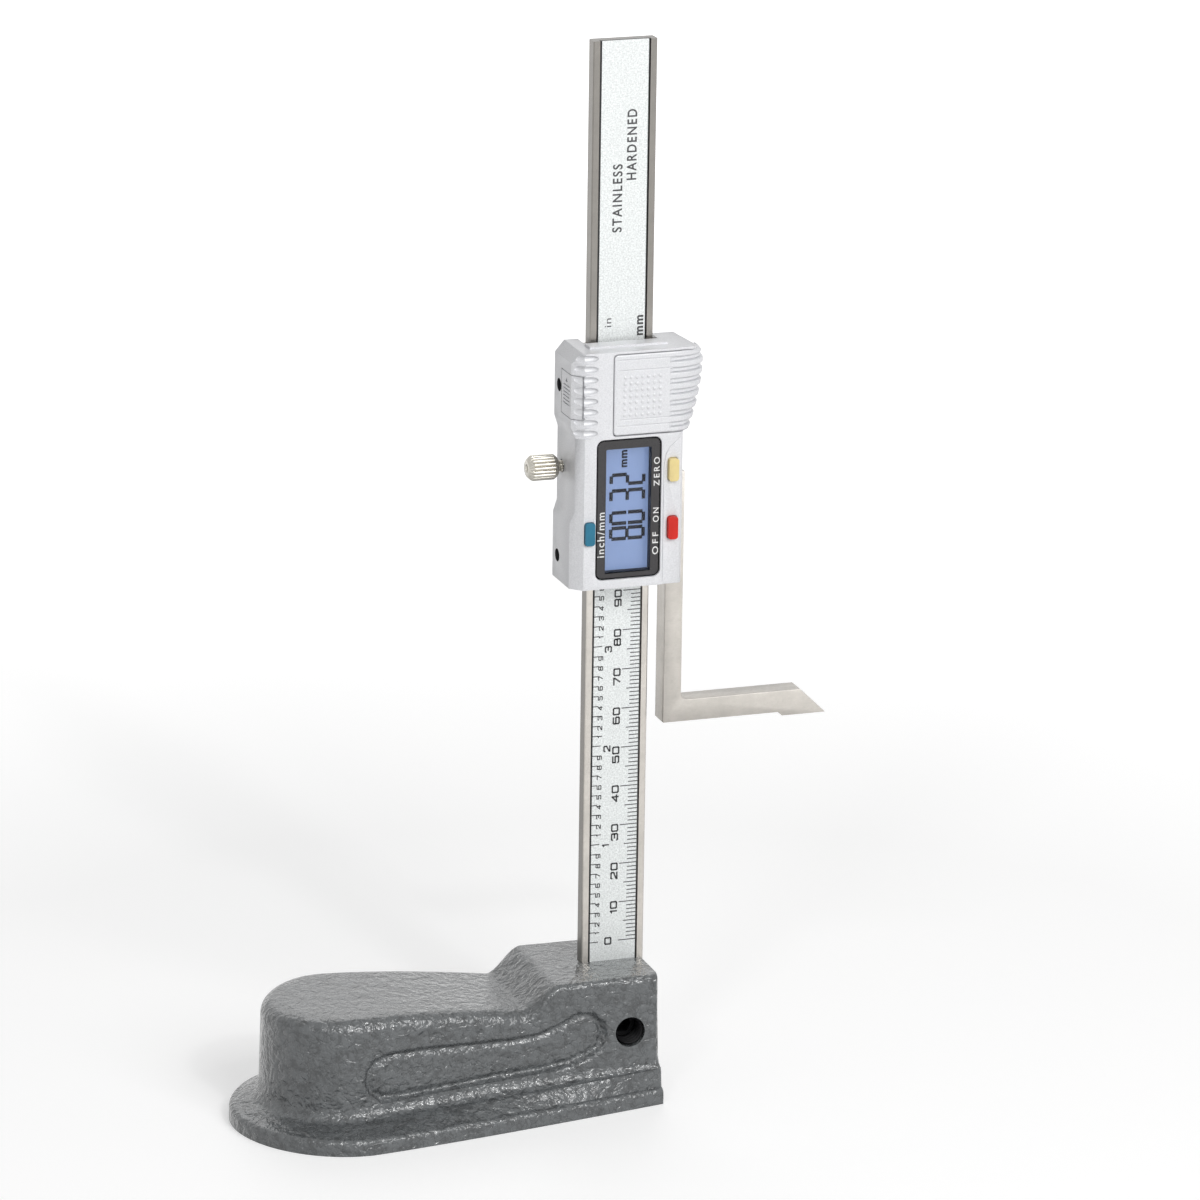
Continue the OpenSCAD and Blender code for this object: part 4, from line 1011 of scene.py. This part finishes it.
class GAUGE_OT_beam(bpy.types.Operator):
    """Gives the beam and its label their finish, and prints the scale"""

    bl_idname = "gauge.beam"
    bl_label = "Beam and scale"

    def execute(self, context):
        sizes = context.scene.gauge_scale
        coat_nodes(beam="beam_steel", scale_label="label", sensor_strip="dark")
        flat_print("scale_lines", scale_bars(sizes), SCALE_PRINT)
        inches = sizes.count / INCH
        tens = [(str(n), n, TEN_AT) for n in range(10, sizes.count + 1, 10)] + [("0", 0, ZERO_AT)]
        tenths = [(str(n % 10), n * INCH / 10, TENTH_AT) for n in range(1, int(inches * 10) + 1) if n % 10]
        wholes = [(str(n), n * INCH, INCH_AT) for n in range(1, int(inches) + 1)]
        for name, numbers, (width, height, gap, stroke) in (
            ("scale_numbers", tens, (sizes.digit_w, sizes.digit_h, *TEN_GAPS)),
            ("inch_tenths", tenths, TENTH_DIGIT),
            ("inch_numbers", wholes, INCH_DIGIT),
        ):
            lines = [
                number_lines(text, sizes.zero_z + z + end, foot, width, height, gap)
                for text, z, (foot, end) in numbers
            ]
            flat_print(name, ribbons(np.concatenate(lines), stroke), SCALE_PRINT)
        for text, (x, z), *rest in SCALE_WORDS:
            lettering("scale_word_" + text.lower(), SCALE_PRINT, text, (x, LABEL_HIGH[2] + z), *rest)
        return {"FINISHED"}


# The slider's housing, in millimetres

# Size of the bevel on the left edge, along X and along Y
BEVEL = 2.7, 2.8
# Where the bevel meets the front, the front itself, and the top
EDGE_X, FRONT_Y, TOP_Z = SHELL_LOW[0] + BEVEL[0], SHELL_LOW[1], SHELL_HIGH[2]
# Grip flutes: number, places on Z, half height, and reach over the front and round the corner
FLUTES, FLUTE_HALF_H, FLUTE_REACH = 8, 0.95, (3.2, 2.2)
FLUTE_Z = TOP_Z - 1.8 - 2.63 * np.arange(FLUTES)
FLUTE_POWER = 2.5
SHELL_FLUTE_DEPTH, PORT_FLUTE_DEPTH = 1.05, 0.55
# Box round the flutes, where edges stay sharp
FLUTE_BOX = (SHELL_LOW[0] - 1, FRONT_Y - 1, TOP_Z - 21.7), (EDGE_X + 3.6, FRONT_Y + 3.3, TOP_Z - 0.4)
# Crease under the battery cover: shares of its width and height, left end, half width and depth
CREASE_SHARES = np.array([
    [0, 0.02], [0, 0.778], [0.046, 0.852], [0.175, 0.906], [0.444, 0.959], [0.808, 0.986],
])
CREASE_X, CREASE_HALF_W, CREASE_DEPTH = 7.85, 0.12, 0.5
COVER_GAP = 0.2
# Walls of the screw holes, painted dark as shade: how far outside the screw, and how far from the left face
BORE_MARGIN, BORE_REACH = 0.6, 4.0
# The port cover: depth on Y to its back and to its bend, width on X at the front, thickness, and flutes
PORT_BACK, PORT_BEND, PORT_W, PORT_T, PORT_FLUTES = 9.18, 2.18, 2.1, 0.6, slice(2, 7)
# Six grooves in it: height of the lowest, pitch, half width, depth, and ends on Y from its back edge
GROOVE_Z, GROOVE_PITCH, GROOVE_HALF_W, MARK_DEPTH, GROOVE_Y = 2.9, 0.9, 0.17, 0.3, (-5.85, -1.25)
# Arrow over them, on Y from the back edge and on Z from the lower edge
ARROW = ((-4.45, 8.3), (-2.75, 8.3), (-3.6, 9.3))


def scoops(heights, depth):
    """Grip flutes: blunt ellipsoids about X, r = (1 - |x|^p)^0.5, bent round the corner with the bevel."""
    x = np.cos(np.linspace(0, np.pi, 19))
    points, faces = turned(np.stack([x, np.sqrt(np.maximum(1 - np.abs(x) ** FLUTE_POWER, 0))], -1), 24)
    points = points * [1, depth, FLUTE_HALF_H]
    points[:, 0] *= np.where(points[:, 0] > 0, *FLUTE_REACH)
    points[:, 1] += np.maximum(-points[:, 0], 0) * BEVEL[1] / BEVEL[0]
    return repeated(points, faces, [(EDGE_X, FRONT_Y, z) for z in heights])


class GAUGE_OT_housing(bpy.types.Operator):
    """Rounds the housing's edges and gives it its silver paint"""

    bl_idname = "gauge.housing"
    bl_label = "Housing"

    def execute(self, context):
        width = context.scene.gauge_slider.edge_r
        cutters = [scoops(FLUTE_Z, SHELL_FLUTE_DEPTH), self.crease()]
        housing = softened("front_shell", "housing", width, "silver", cutters=cutters, rough=FLUTE_BOX)
        self.bare_bores(housing)
        self.port_cover()
        coat_nodes(slider_frame="frame_steel", shell_screws="screw_steel")
        coat_nodes(gib_strip="brass", gib_screws="oxide")
        return {"FINISHED"}

    def crease(self):
        """Narrow cut along a line that follows the battery cover's tray."""
        low, high = SHELL_LOW[2], COVER_LOW[2] - COVER_GAP
        line = CREASE_SHARES * [SHELL_HIGH[0] - CREASE_X, high - low] + [CREASE_X, low]
        side = sideways(line) * CREASE_HALF_W
        outline = np.concatenate([line - side, (line + side)[::-1]])
        return prism(outline, FRONT_Y - CUT_OVER, FRONT_Y + CREASE_DEPTH, "Y")

    def bare_bores(self, housing):
        """Gives the screw holes' walls the dark plastic finish, as painted shade deep in the holes: faces
        near a hole's axis that look across it.
        """
        radius = (GIB_HIGH[1] - GIB_LOW[1]) / 2
        heights = np.array([GIB_LOW[2] + radius, (SCREW_LOW[2] + SCREW_HIGH[2]) / 2, GIB_HIGH[2] - radius])
        faces = housing.data.polygons
        centres, normals = np.empty(len(faces) * 3), np.empty(len(faces) * 3)
        faces.foreach_get("center", centres)
        faces.foreach_get("normal", normals)
        centres, normals = centres.reshape(-1, 3) / MM, normals.reshape(-1, 3)
        near = np.hypot(centres[:, None, 1], centres[:, None, 2] - heights).min(1) < radius + BORE_MARGIN
        inside = near & (np.abs(normals[:, 0]) < 0.5) & (centres[:, 0] < SHELL_LOW[0] + BORE_REACH)
        # Painted shade: the walls of the screw holes get the dark finish
        housing.data.materials.append(finish("dark"))
        faces.foreach_set("material_index", inside.astype(np.int32))

    def port_cover(self):
        """Thin cover bent round the left face and the bevel, with flutes, an arrow and six grooves."""
        left, front = PORT_LOW[:2]
        back, bend = front + PORT_BACK, front + PORT_BEND
        outline = [
            (left, back), (left, bend), (left + PORT_W, front),
            (left + PORT_W + PORT_T * 0.4, front + PORT_T), (left + PORT_T, bend + PORT_T * 0.4),
            (left + PORT_T, back),
        ]
        mesh = mesh_of("port_cover_skin", *prism(outline, PORT_LOW[2], PORT_HIGH[2], "Z"), smooth=False)
        skin = link(mesh, "port_cover")
        mark_x = left - CUT_OVER, left + MARK_DEPTH
        groove = block(*zip(mark_x, GROOVE_Y, (-GROOVE_HALF_W, GROOVE_HALF_W)))
        places = [(0, PORT_HIGH[1], PORT_LOW[2] + GROOVE_Z + k * GROOVE_PITCH) for k in reversed(range(6))]
        grooves = [repeated(*groove, [place]) for place in places]
        arrow = prism(np.array(ARROW) + [PORT_HIGH[1], PORT_LOW[2]], *mark_x, "X")
        carve(skin, [scoops(FLUTE_Z[PORT_FLUTES], PORT_FLUTE_DEPTH), *grooves, arrow])
        keep_sharp(skin.data, 28)
        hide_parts("port_cover")
        coat(skin, "silver")


# The battery cover, in millimetres

# Right end of its outline, as shares of the overhang and of the height
COVER_SHARES = np.array([
    [0.72, 0], [0.58, 0.09], [0.29, 0.34], [0.08, 0.61], [0, 0.83], [0.07, 0.94], [0.24, 1],
])
COVER_BEND_X, COVER_T, COVER_OVERHANG = 9.0, 1.2, 5.5
# How far it reaches past the solid at its foot and at its top
COVER_STRETCH = 1.1, 0.6
BEND_POWER = 2 / 2.5
COVER_CORNER_R, COVER_EDGE_R = 1.0, 0.4
# Rows and columns that are gathered at the border, and how far from a rib or a line they are gathered
BORDER_ROWS = np.array([0, 0.04, 0.1, 0.18, 0.28, 0.4])
FINE_REACH = 0.24
# Ribs: first crest above the lower edge, number, depth, start on X, and plain margin above and below
RIB_UP, RIBS, RIB_DEPTH, RIB_X, RIB_MARGIN = 1.15, 7, 0.6, 8.9, 0.7
# Groove over each rib: half width, share of the rib's depth, and how wide its upper wall is
LEDGE_HALF_W, LEDGE_SHARE, STEP_W = 0.11, 0.55, 0.16
# Four lines across the flat: height above the lower edge, half width, depth, and ends on X
LINE_UP = np.array([2.25, 3.85, 15.95, 18.55])
LINE_HALF_W, LINE_DEPTH, LINE_START, LINE_END = 0.1, 0.2, 0.8, 10.2
# Dots: the first one's place from the cover's lower left corner, and how far they are sunk
DOT_AT, DOT_SUNK, DOT_SHARE = (2.8, 4.95), 0.02, 0.5
# Rails under the cover: ends on X, ends on Y below its front, distance from its edges, and half height
RAIL_X, RAIL_Y, RAIL_INSET, RAIL_HALF_H = (-3.6, 13.0), (1.15, 2.4), 1.7, 0.5


class GAUGE_OT_battery_cover(bpy.types.Operator):
    """Makes the battery cover: its curved end, ribs, lines and dots"""

    bl_idname = "gauge.battery_cover"
    bl_label = "Battery cover"

    def execute(self, context):
        sizes = context.scene.gauge_slider
        skin, _, _ = (
            link(mesh_of(name, *shape, smooth=smooth), "battery_cover", "silver")
            for name, shape, smooth in (
                ("battery_cover_skin", self.shell(sizes), True),
                ("cover_dots", self.dots(sizes), True),
                ("cover_rails", self.rails(), False),
            )
        )
        keep_sharp(skin.data, 32)
        wall = skin.modifiers.new("Wall", "SOLIDIFY")
        wall.thickness = COVER_T * MM
        wall.offset = -1
        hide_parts("battery_cover")
        return {"FINISHED"}

    def shell(self, sizes):
        """Sheet over height and plan: flat to the bend, then a superellipse.

        x = bend + reach sin(a)^p and y = depth (1 - cos(a)^p), where the reach follows the outline's height.
        The curved end is pushed in by depth * (1 - step(height above a crest)), which leaves beads with a
        narrow groove over each. Lines are narrow hollows in the flat, and the border is a quarter circle.
        """
        low, high = COVER_LOW[2], COVER_HIGH[2]
        grooves, crests = low + LINE_UP, low + RIB_UP + sizes.rib_pitch * np.arange(RIBS)
        fine = np.concatenate([grooves, crests])[:, None] + np.linspace(-FINE_REACH, FINE_REACH, 13)
        plain = np.linspace(low + COVER_EDGE_R, high - COVER_EDGE_R, 180)[1:-1]
        z = np.sort(np.concatenate([low + BORDER_ROWS, plain, high - BORDER_ROWS, fine.ravel()]))
        z = z[np.concatenate([[True], np.diff(z) > 0.02])]
        share = (z - low) / (high - low)
        end = COVER_HIGH[0] - COVER_OVERHANG * np.interp(share, COVER_SHARES[:, 1], COVER_SHARES[:, 0])
        end += mixed(*COVER_STRETCH, share)
        border = np.minimum(z - low, high - z)
        past = np.maximum(COVER_CORNER_R - border, 0)
        start = COVER_LOW[0] + COVER_CORNER_R - np.sqrt(np.maximum(COVER_CORNER_R**2 - past**2, 0))
        wide = COVER_BEND_X - COVER_LOW[0]
        u = np.concatenate([BORDER_ROWS / wide, np.linspace(COVER_EDGE_R / wide, 1, 56)[1:]])
        flat_x = start[:, None] + (COVER_BEND_X - start)[:, None] * u
        a = quarter(42)[None, 1:]
        bend_x = COVER_BEND_X + (end - COVER_BEND_X)[:, None] * np.sin(a) ** BEND_POWER
        depth = COVER_HIGH[1] - COVER_LOW[1]
        bend_y = depth * (1 - np.clip(np.cos(a), 0, 1) ** BEND_POWER) + 0 * bend_x
        x = np.concatenate([flat_x, bend_x], 1)
        y = COVER_LOW[1] + np.concatenate([0 * flat_x, bend_y], 1)
        z = z[:, None] + 0 * x
        turn = np.clip((y - COVER_LOW[1]) / depth, 0, 1) ** 0.5 * np.pi / 2
        push = self.ribs(x, y, z, sizes.rib_pitch)
        lines = np.exp(-(((z[..., None] - grooves) / LINE_HALF_W) ** 2)).sum(-1)
        inner = x - start[:, None]
        push += LINE_DEPTH * lines * smoothed((inner - LINE_START) / 0.5) * smoothed((LINE_END - x) / 1.2)
        gap = np.clip(np.minimum(np.minimum(z - low, high - z), inner) / COVER_EDGE_R, 0, 1)
        push += COVER_EDGE_R * (1 - np.sqrt(1 - (1 - gap) ** 2))
        points = np.stack([x - push * np.sin(turn), y + push * np.cos(turn), z], -1)
        return points.reshape(-1, 3), grid_faces(*x.shape)

    def ribs(self, x, y, z, pitch):
        """How far the ribbed end is pushed in, which fades at the cover's edges and towards the flat."""
        low, high = COVER_LOW[2], COVER_HIGH[2]
        phase = ((z - low - RIB_UP) / pitch) % 1
        ledge = np.exp(-((np.minimum(phase, 1 - phase) * pitch / LEDGE_HALF_W) ** 2))
        step = smoothed((1 - phase) * pitch / STEP_W)
        rib = 1 - smoothed((phase - 0.3) / 0.24) * step + LEDGE_SHARE * ledge
        ribbed = smoothed((z - low - RIB_MARGIN) / 0.3) * smoothed((high - RIB_MARGIN - z) / 0.3)
        fade = smoothed(x - RIB_X) * smoothed((COVER_HIGH[1] - 0.35 - y) / 0.6)
        return RIB_DEPTH * rib * ribbed * fade

    def dots(self, sizes):
        """Rows of domes: y = height cos(a), with rings of a quarter circle."""
        a, b = quarter(6), whole_turn(14)
        flat = np.sin(a) * sizes.dot_r
        rise = np.outer(np.ones_like(b), np.cos(a)) * -sizes.dot_r * DOT_SHARE
        dome = np.stack([np.outer(np.cos(b), flat), rise, np.outer(np.sin(b), flat)], -1).reshape(-1, 3)
        k = np.arange(sizes.dot_rows)
        across, up = COVER_LOW[0] + DOT_AT[0], COVER_LOW[2] + DOT_AT[1]
        x, z = np.meshgrid(across + k * sizes.dot_pitch_x, up + k * sizes.dot_pitch_z)
        seats = np.stack([x.ravel(), np.full(x.size, COVER_LOW[1] + DOT_SUNK), z.ravel()], -1)
        return repeated(dome, grid_faces(len(b), len(a), wrap=True), seats)

    def rails(self):
        """Two bars under the cover, which run in the housing."""
        bar = block(*zip(RAIL_X, RAIL_Y, (-RAIL_HALF_H, RAIL_HALF_H)))
        low, high = COVER_LOW[2] + RAIL_INSET, COVER_HIGH[2] - RAIL_INSET
        return repeated(*bar, [(0, COVER_LOW[1], z) for z in (low, high)])


# The display, in millimetres

# Lit segments of the digits, and those that stand upright, above the middle, and on the left
SEGMENTS = {"0": "abcdef", "2": "abged", "3": "abgcd", "8": "abcdefg"}
UPRIGHT, UPPER, LEFT = "fbec", "fb", "fe"
# A segment's width, the gap at its ends, the digits' height, and how much of a bar's width its end takes
SEGMENT_W, SEGMENT_GAP, SEGMENT_H = 0.9, 0.2, 8.25
# The clear part of the window, which the border frames, and the border's inset and corner radii
VIEW_LOW, VIEW_HIGH = WINDOW_LOW + [2.4, 0, 1.4], WINDOW_HIGH - [2.35, 0, 2.4]
BORDER_INSET, BORDER_R, VIEW_R = 0.3, 1.4, 0.3
BORDER_LIFT, DIGIT_LIFT = 0.006, 0.015
DISPLAY_PRINT = LCD_LOW[1] - DIGIT_LIFT, "slider", "lcd", "segments"
WINDOW_PRINT = WINDOW_LOW[1] - PRINT_LIFT, "slider", "window_plastic", "white_print"
# Digits: start above the clear part's lower edge, width, and foot on X
DIGITS = (("8", 7.7, 2.65, 3.85), ("0", 11.55, 2.65, 3.85), ("3", 17.05, 2.65, 3.8), ("2", 21.35, 2.3, 3.8))
# Words: foot on X and start above the clear part's lower edge, cap height and length, spacing, and boldness
DISPLAY_WORD = "mm", (-0.55, 25.45), (1.35, 4.3), 1.15, 0.06
WINDOW_WORDS = (
    ("ZERO", (6.85, 21.0), (1.5, 7.2), 1.4, 0.015),
    ("ON", (6.8, 12.0), (1.5, 3.6), 1.4, 0.015),
    ("OFF", (6.75, 3.9), (1.5, 5.6), 1.4, 0.015),
    ("inch/mm", (-6.95, 4.2), (1.85, 11.2), 1.2, 0.015),
)


def segment_bars(digit, start, width, base):
    """Bars of a seven-segment digit read upwards: base is its foot on X, and start its left side on Z."""
    bars = []
    inset = SEGMENT_GAP + SEGMENT_W * OVERRUN_SHARE
    for name in SEGMENTS[digit]:
        if name in UPRIGHT:
            low = 0.5 if name in UPPER else 0
            z = start if name in LEFT else start + width
            bars.append([(base - low * SEGMENT_H - inset, z), (base - (low + 0.5) * SEGMENT_H + inset, z)])
        else:
            level = base - {"a": 1, "g": 0.5, "d": 0}[name] * SEGMENT_H
            bars.append([(level, start + inset), (level, start + width - inset)])
    return np.array(bars)


def rounded(low, high, radius):
    """Rounded rectangle in the XZ plane: a quarter circle at each corner."""
    centre, half = (low + high)[[0, 2]] / 2, (high - low)[[0, 2]] / 2 - radius
    points = []
    for turn, way in enumerate(((1, 1), (-1, 1), (-1, -1), (1, -1))):
        a = quarter(10) + turn * np.pi / 2
        points.append(centre + half * way + radius * np.stack([np.cos(a), np.sin(a)], -1))
    return np.concatenate(points)


class GAUGE_OT_display(bpy.types.Operator):
    """Makes the window's printed border, the lit display, its digits and its words"""

    bl_idname = "gauge.display"
    bl_label = "Display"

    def execute(self, context):
        coat_nodes(display_window="window", lcd_frame="dark", lcd_panel="display", backlight="milky")
        self.border()
        foot = VIEW_LOW[2]
        bars = [segment_bars(digit, foot + start, width, base) for digit, start, width, base in DIGITS]
        flat_print("display_digits", ribbons(np.concatenate(bars), SEGMENT_W), DISPLAY_PRINT)
        text, (x, z), *rest = DISPLAY_WORD
        lettering("display_unit", DISPLAY_PRINT, text, (x, foot + z), *rest)
        for text, (x, z), *rest in WINDOW_WORDS:
            name = "window_word_" + text.lower().replace("/", "_")
            lettering(name, WINDOW_PRINT, text, (x, foot + z), *rest)
        return {"FINISHED"}

    def border(self):
        """Frame between two rounded rectangles: the window's outline drawn in, and its clear part."""
        outer = rounded(WINDOW_LOW + BORDER_INSET, WINDOW_HIGH - BORDER_INSET, BORDER_R)
        inner = rounded(VIEW_LOW, VIEW_HIGH, VIEW_R)
        points = np.insert(np.concatenate([outer, inner]), 1, WINDOW_LOW[1] - BORDER_LIFT, axis=1)
        mesh = plain_mesh("window_border", points, ring_faces(len(outer)))
        link(mesh, "slider", "bezel")


# Buttons, lock screw, scriber and the parts inside, in millimetres

# The lock screw's head: length, and its profile from the left end as X and distance inside the outer radius
HEAD_L = 7.5
HEAD_FRONT = ((0.35, -2.3), (0, -2.1), (0, -1.1), (0.15, -0.9), (0.75, -0.35), (1.1, -0.08), (1.3, 0))
HEAD_BACK = ((-1.0, 0), (-0.8, -0.08), (-0.35, -0.45), (0, -0.8))
KNURL_DEPTH_SHARE, KNURL_POWER = 0.13, 0.6
NECK_R, NECK_DEPTH, NECK_PITCH = 1.36, 0.22, 0.5


class GAUGE_OT_buttons(bpy.types.Operator):
    """Rounds the three buttons and gives them their colours"""

    bl_idname = "gauge.buttons"
    bl_label = "Buttons"

    def execute(self, context):
        width = context.scene.gauge_slider.button_edge_r
        for node, look in (("button_zero", "yellow"), ("button_power", "red"), ("button_unit", "blue")):
            softened(node, node + "_cap", width, look, segments=4)
        return {"FINISHED"}


class GAUGE_OT_lock_screw(bpy.types.Operator):
    """Makes the lock screw: a head with a straight knurl, and a threaded neck"""

    bl_idname = "gauge.lock_screw"
    bl_label = "Lock screw"

    def execute(self, context):
        count = context.scene.gauge_slider.knurl_count
        r = (SCREW_HIGH[2] - SCREW_LOW[2]) / 2
        left = SCREW_LOW[0]
        right = left + HEAD_L

        def knurl(a, x):
            wave = np.abs(np.sin(a * count / 2)) ** KNURL_POWER
            inside = smoothed((x - left - 0.3) / 0.9) * smoothed((right - 0.1 - x) / 0.6)
            return 1 - KNURL_DEPTH_SHARE * (1 - wave) * inside

        front = np.array(HEAD_FRONT) + [left, r]
        middle = np.stack([np.linspace(left + 1.4, right - 1.1, 12), np.full(12, r)], -1)
        profile = [(front[0, 0], 0), *front, *middle, *(np.array(HEAD_BACK) + [right, r]), (right, 0)]
        head = turned(profile, count * 12, knurl)
        neck = screw_thread(NECK_R, NECK_DEPTH, NECK_PITCH, right - 0.1, SCREW_HIGH[0], 40)
        pieces = []
        for name, (points, faces) in (("lock_screw_head", head), ("lock_screw_thread", neck)):
            placed = points + [0, 0, (SCREW_LOW[2] + SCREW_HIGH[2]) / 2]
            pieces.append(link(mesh_of(name, placed, faces), "lock_screw", "nickel"))
        keep_sharp(pieces[0].data, 40)
        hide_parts("lock_screw")
        return {"FINISHED"}


class GAUGE_OT_scriber(bpy.types.Operator):
    """Gives the scriber its ground steel, with slightly broken edges"""

    bl_idname = "gauge.scriber"
    bl_label = "Scriber"

    def execute(self, context):
        width = context.scene.gauge_slider.scriber_edge_r
        softened("scriber", "scriber_bar", width, "scriber_steel", segments=2)
        coat_nodes(scriber_screws="oxide")
        return {"FINISHED"}


class GAUGE_OT_inside(bpy.types.Operator):
    """Gives the parts inside the housing their finishes"""

    bl_idname = "gauge.inside"
    bl_label = "Inside"

    def execute(self, context):
        coat_nodes(circuit_board="board", measuring_chip="resin", battery_cell="cell")
        coat_nodes(button_pads="rubber", zebra_strips="rubber")
        coat_nodes(contact_minus="gilt", contact_plus="gilt", data_contacts="gilt")
        return {"FINISHED"}


# The stage

# The photograph's view: place in millimetres, turn about X, Y and Z in degrees, and focal length
CAMERA_AT = (-494.548, -1400.634, 574.081)
CAMERA_TURN = (73.168477, -0.773189, -19.072318)
CAMERA_LENS = 191.916
FLOOR_R, FLOOR_Z = 4000.0, -0.02
LAMP_AIM = (0, 0, 0.13)
# Lamps: name, place and side in metres, and power in watts
LAMPS = (
    ("key", (0.35, -1.3, 1.0), 1.0, 14.5),
    ("spark", (0.2, -1.3, 1.0), 0.11, 3.2),
    ("fill", (-0.8, -1.0, 1.0), 0.25, 2.2),
    ("back", (0.2, 1.2, 1.3), 0.9, 3.0),
)
# Strength of the world's light on the object
WORLD_LIGHT = 0.3


class GAUGE_OT_stage(bpy.types.Operator):
    """Makes the floor, the light and the camera"""

    bl_idname = "gauge.stage"
    bl_label = "Stage"

    def execute(self, context):
        context.scene.view_settings.view_transform = "Standard"
        self.camera(context.scene)
        self.floor(context.scene.gauge_colours.floor)
        self.world(context.scene)
        for lamp in LAMPS:
            self.lamp(*lamp)
        return {"FINISHED"}

    def place(self, name, data, at, turn):
        """Puts a camera or a lamp in its place, in metres, turned by angles in radians."""
        made = bpy.data.objects.new(name, data)
        bpy.context.scene.collection.objects.link(made)
        made.location = at
        made.rotation_euler = turn
        return made

    def camera(self, scene):
        """The photograph's view."""
        data = bpy.data.cameras.new("camera")
        data.lens = CAMERA_LENS
        data.sensor_width = 36
        data.clip_start, data.clip_end = 0.1, 20
        scene.camera = self.place("camera", data, np.array(CAMERA_AT) * MM, np.radians(CAMERA_TURN))

    def lamp(self, name, at, size, power):
        """Square area lamp, turned towards the object."""
        data = bpy.data.lights.new(name, "AREA")
        data.shape = "SQUARE"
        data.size = size
        data.energy = power
        self.place(name, data, at, (Vector(at) - Vector(LAMP_AIM)).to_track_quat("Z", "Y").to_euler())

    def floor(self, colour):
        """Round pale floor that the camera sees as near white, with the object's shadow."""
        rim = np.insert(circle(FLOOR_R, 96), 2, FLOOR_Z, axis=1)
        mesh = mesh_of("floor", rim, [range(len(rim))])
        self.place("floor", mesh, (0, 0, 0), (0, 0, 0))
        made = Finish("floor_paint", colour, roughness=0.6, emission_color=(1, 1, 1))
        away = made.add("ShaderNodeVectorMath", "Value", {0: made.coordinates}, operation="LENGTH")
        glow = {0: seen_share(made.tree), 1: made.ramp(away, 0.2, 0.9, 0.37, 0.9)}
        made.set("Emission Strength", made.add("ShaderNodeMath", operation="MULTIPLY", inputs=glow))
        mesh.materials.append(made.material)

    def world(self, scene):
        """Plain light all round, with white behind the object."""
        scene.world = bpy.data.worlds.new("studio")
        scene.world.use_nodes = True
        tree = scene.world.node_tree
        tree.nodes.clear()
        soft, white = (
            add_node(tree, "ShaderNodeBackground", inputs={"Color": (1, 1, 1), "Strength": strength})
            for strength in (WORLD_LIGHT, 1.0)
        )
        mix = add_node(tree, "ShaderNodeMixShader", inputs={0: seen_share(tree), 1: soft, 2: white})
        tree.links.new(mix, tree.nodes.new("ShaderNodeOutputWorld").inputs["Surface"])


# Panel and registration

OPERATORS = (
    GAUGE_OT_base,
    GAUGE_OT_set_screw,
    GAUGE_OT_beam,
    GAUGE_OT_housing,
    GAUGE_OT_battery_cover,
    GAUGE_OT_display,
    GAUGE_OT_buttons,
    GAUGE_OT_lock_screw,
    GAUGE_OT_scriber,
    GAUGE_OT_inside,
    GAUGE_OT_stage,
)
GROUPS = {
    "gauge_base": BaseSizes,
    "gauge_scale": ScaleSizes,
    "gauge_slider": SliderSizes,
    "gauge_colours": FinishColours,
}


class GAUGE_PT_panel(bpy.types.Panel):
    """Lists the pieces, and their sizes and colours"""

    bl_idname = "GAUGE_PT_panel"
    bl_label = "Height gauge"
    bl_space_type = "VIEW_3D"
    bl_region_type = "UI"
    bl_category = "Height gauge"

    def draw(self, context):
        for operator in OPERATORS:
            self.layout.operator(operator.bl_idname)
        for name in GROUPS:
            box = self.layout.box()
            group = getattr(context.scene, name)
            for size in group.__annotations__:
                box.prop(group, size)


def register():
    """Registers the classes and hangs the size groups on the scene."""
    for made in (*GROUPS.values(), *OPERATORS, GAUGE_PT_panel):
        bpy.utils.register_class(made)
    for name, group in GROUPS.items():
        setattr(bpy.types.Scene, name, PointerProperty(type=group))


def unregister():
    """Undoes register."""
    for name in GROUPS:
        delattr(bpy.types.Scene, name)
    for made in (GAUGE_PT_panel, *reversed(OPERATORS), *reversed(GROUPS.values())):
        bpy.utils.unregister_class(made)


def main():
    register()
    bpy.ops.gauge.stage()
    bpy.ops.gauge.base()
    bpy.ops.gauge.set_screw()
    bpy.ops.gauge.beam()
    bpy.ops.gauge.housing()
    bpy.ops.gauge.battery_cover()
    bpy.ops.gauge.display()
    bpy.ops.gauge.buttons()
    bpy.ops.gauge.lock_screw()
    bpy.ops.gauge.scriber()
    bpy.ops.gauge.inside()


if __name__ == "__main__":
    main()
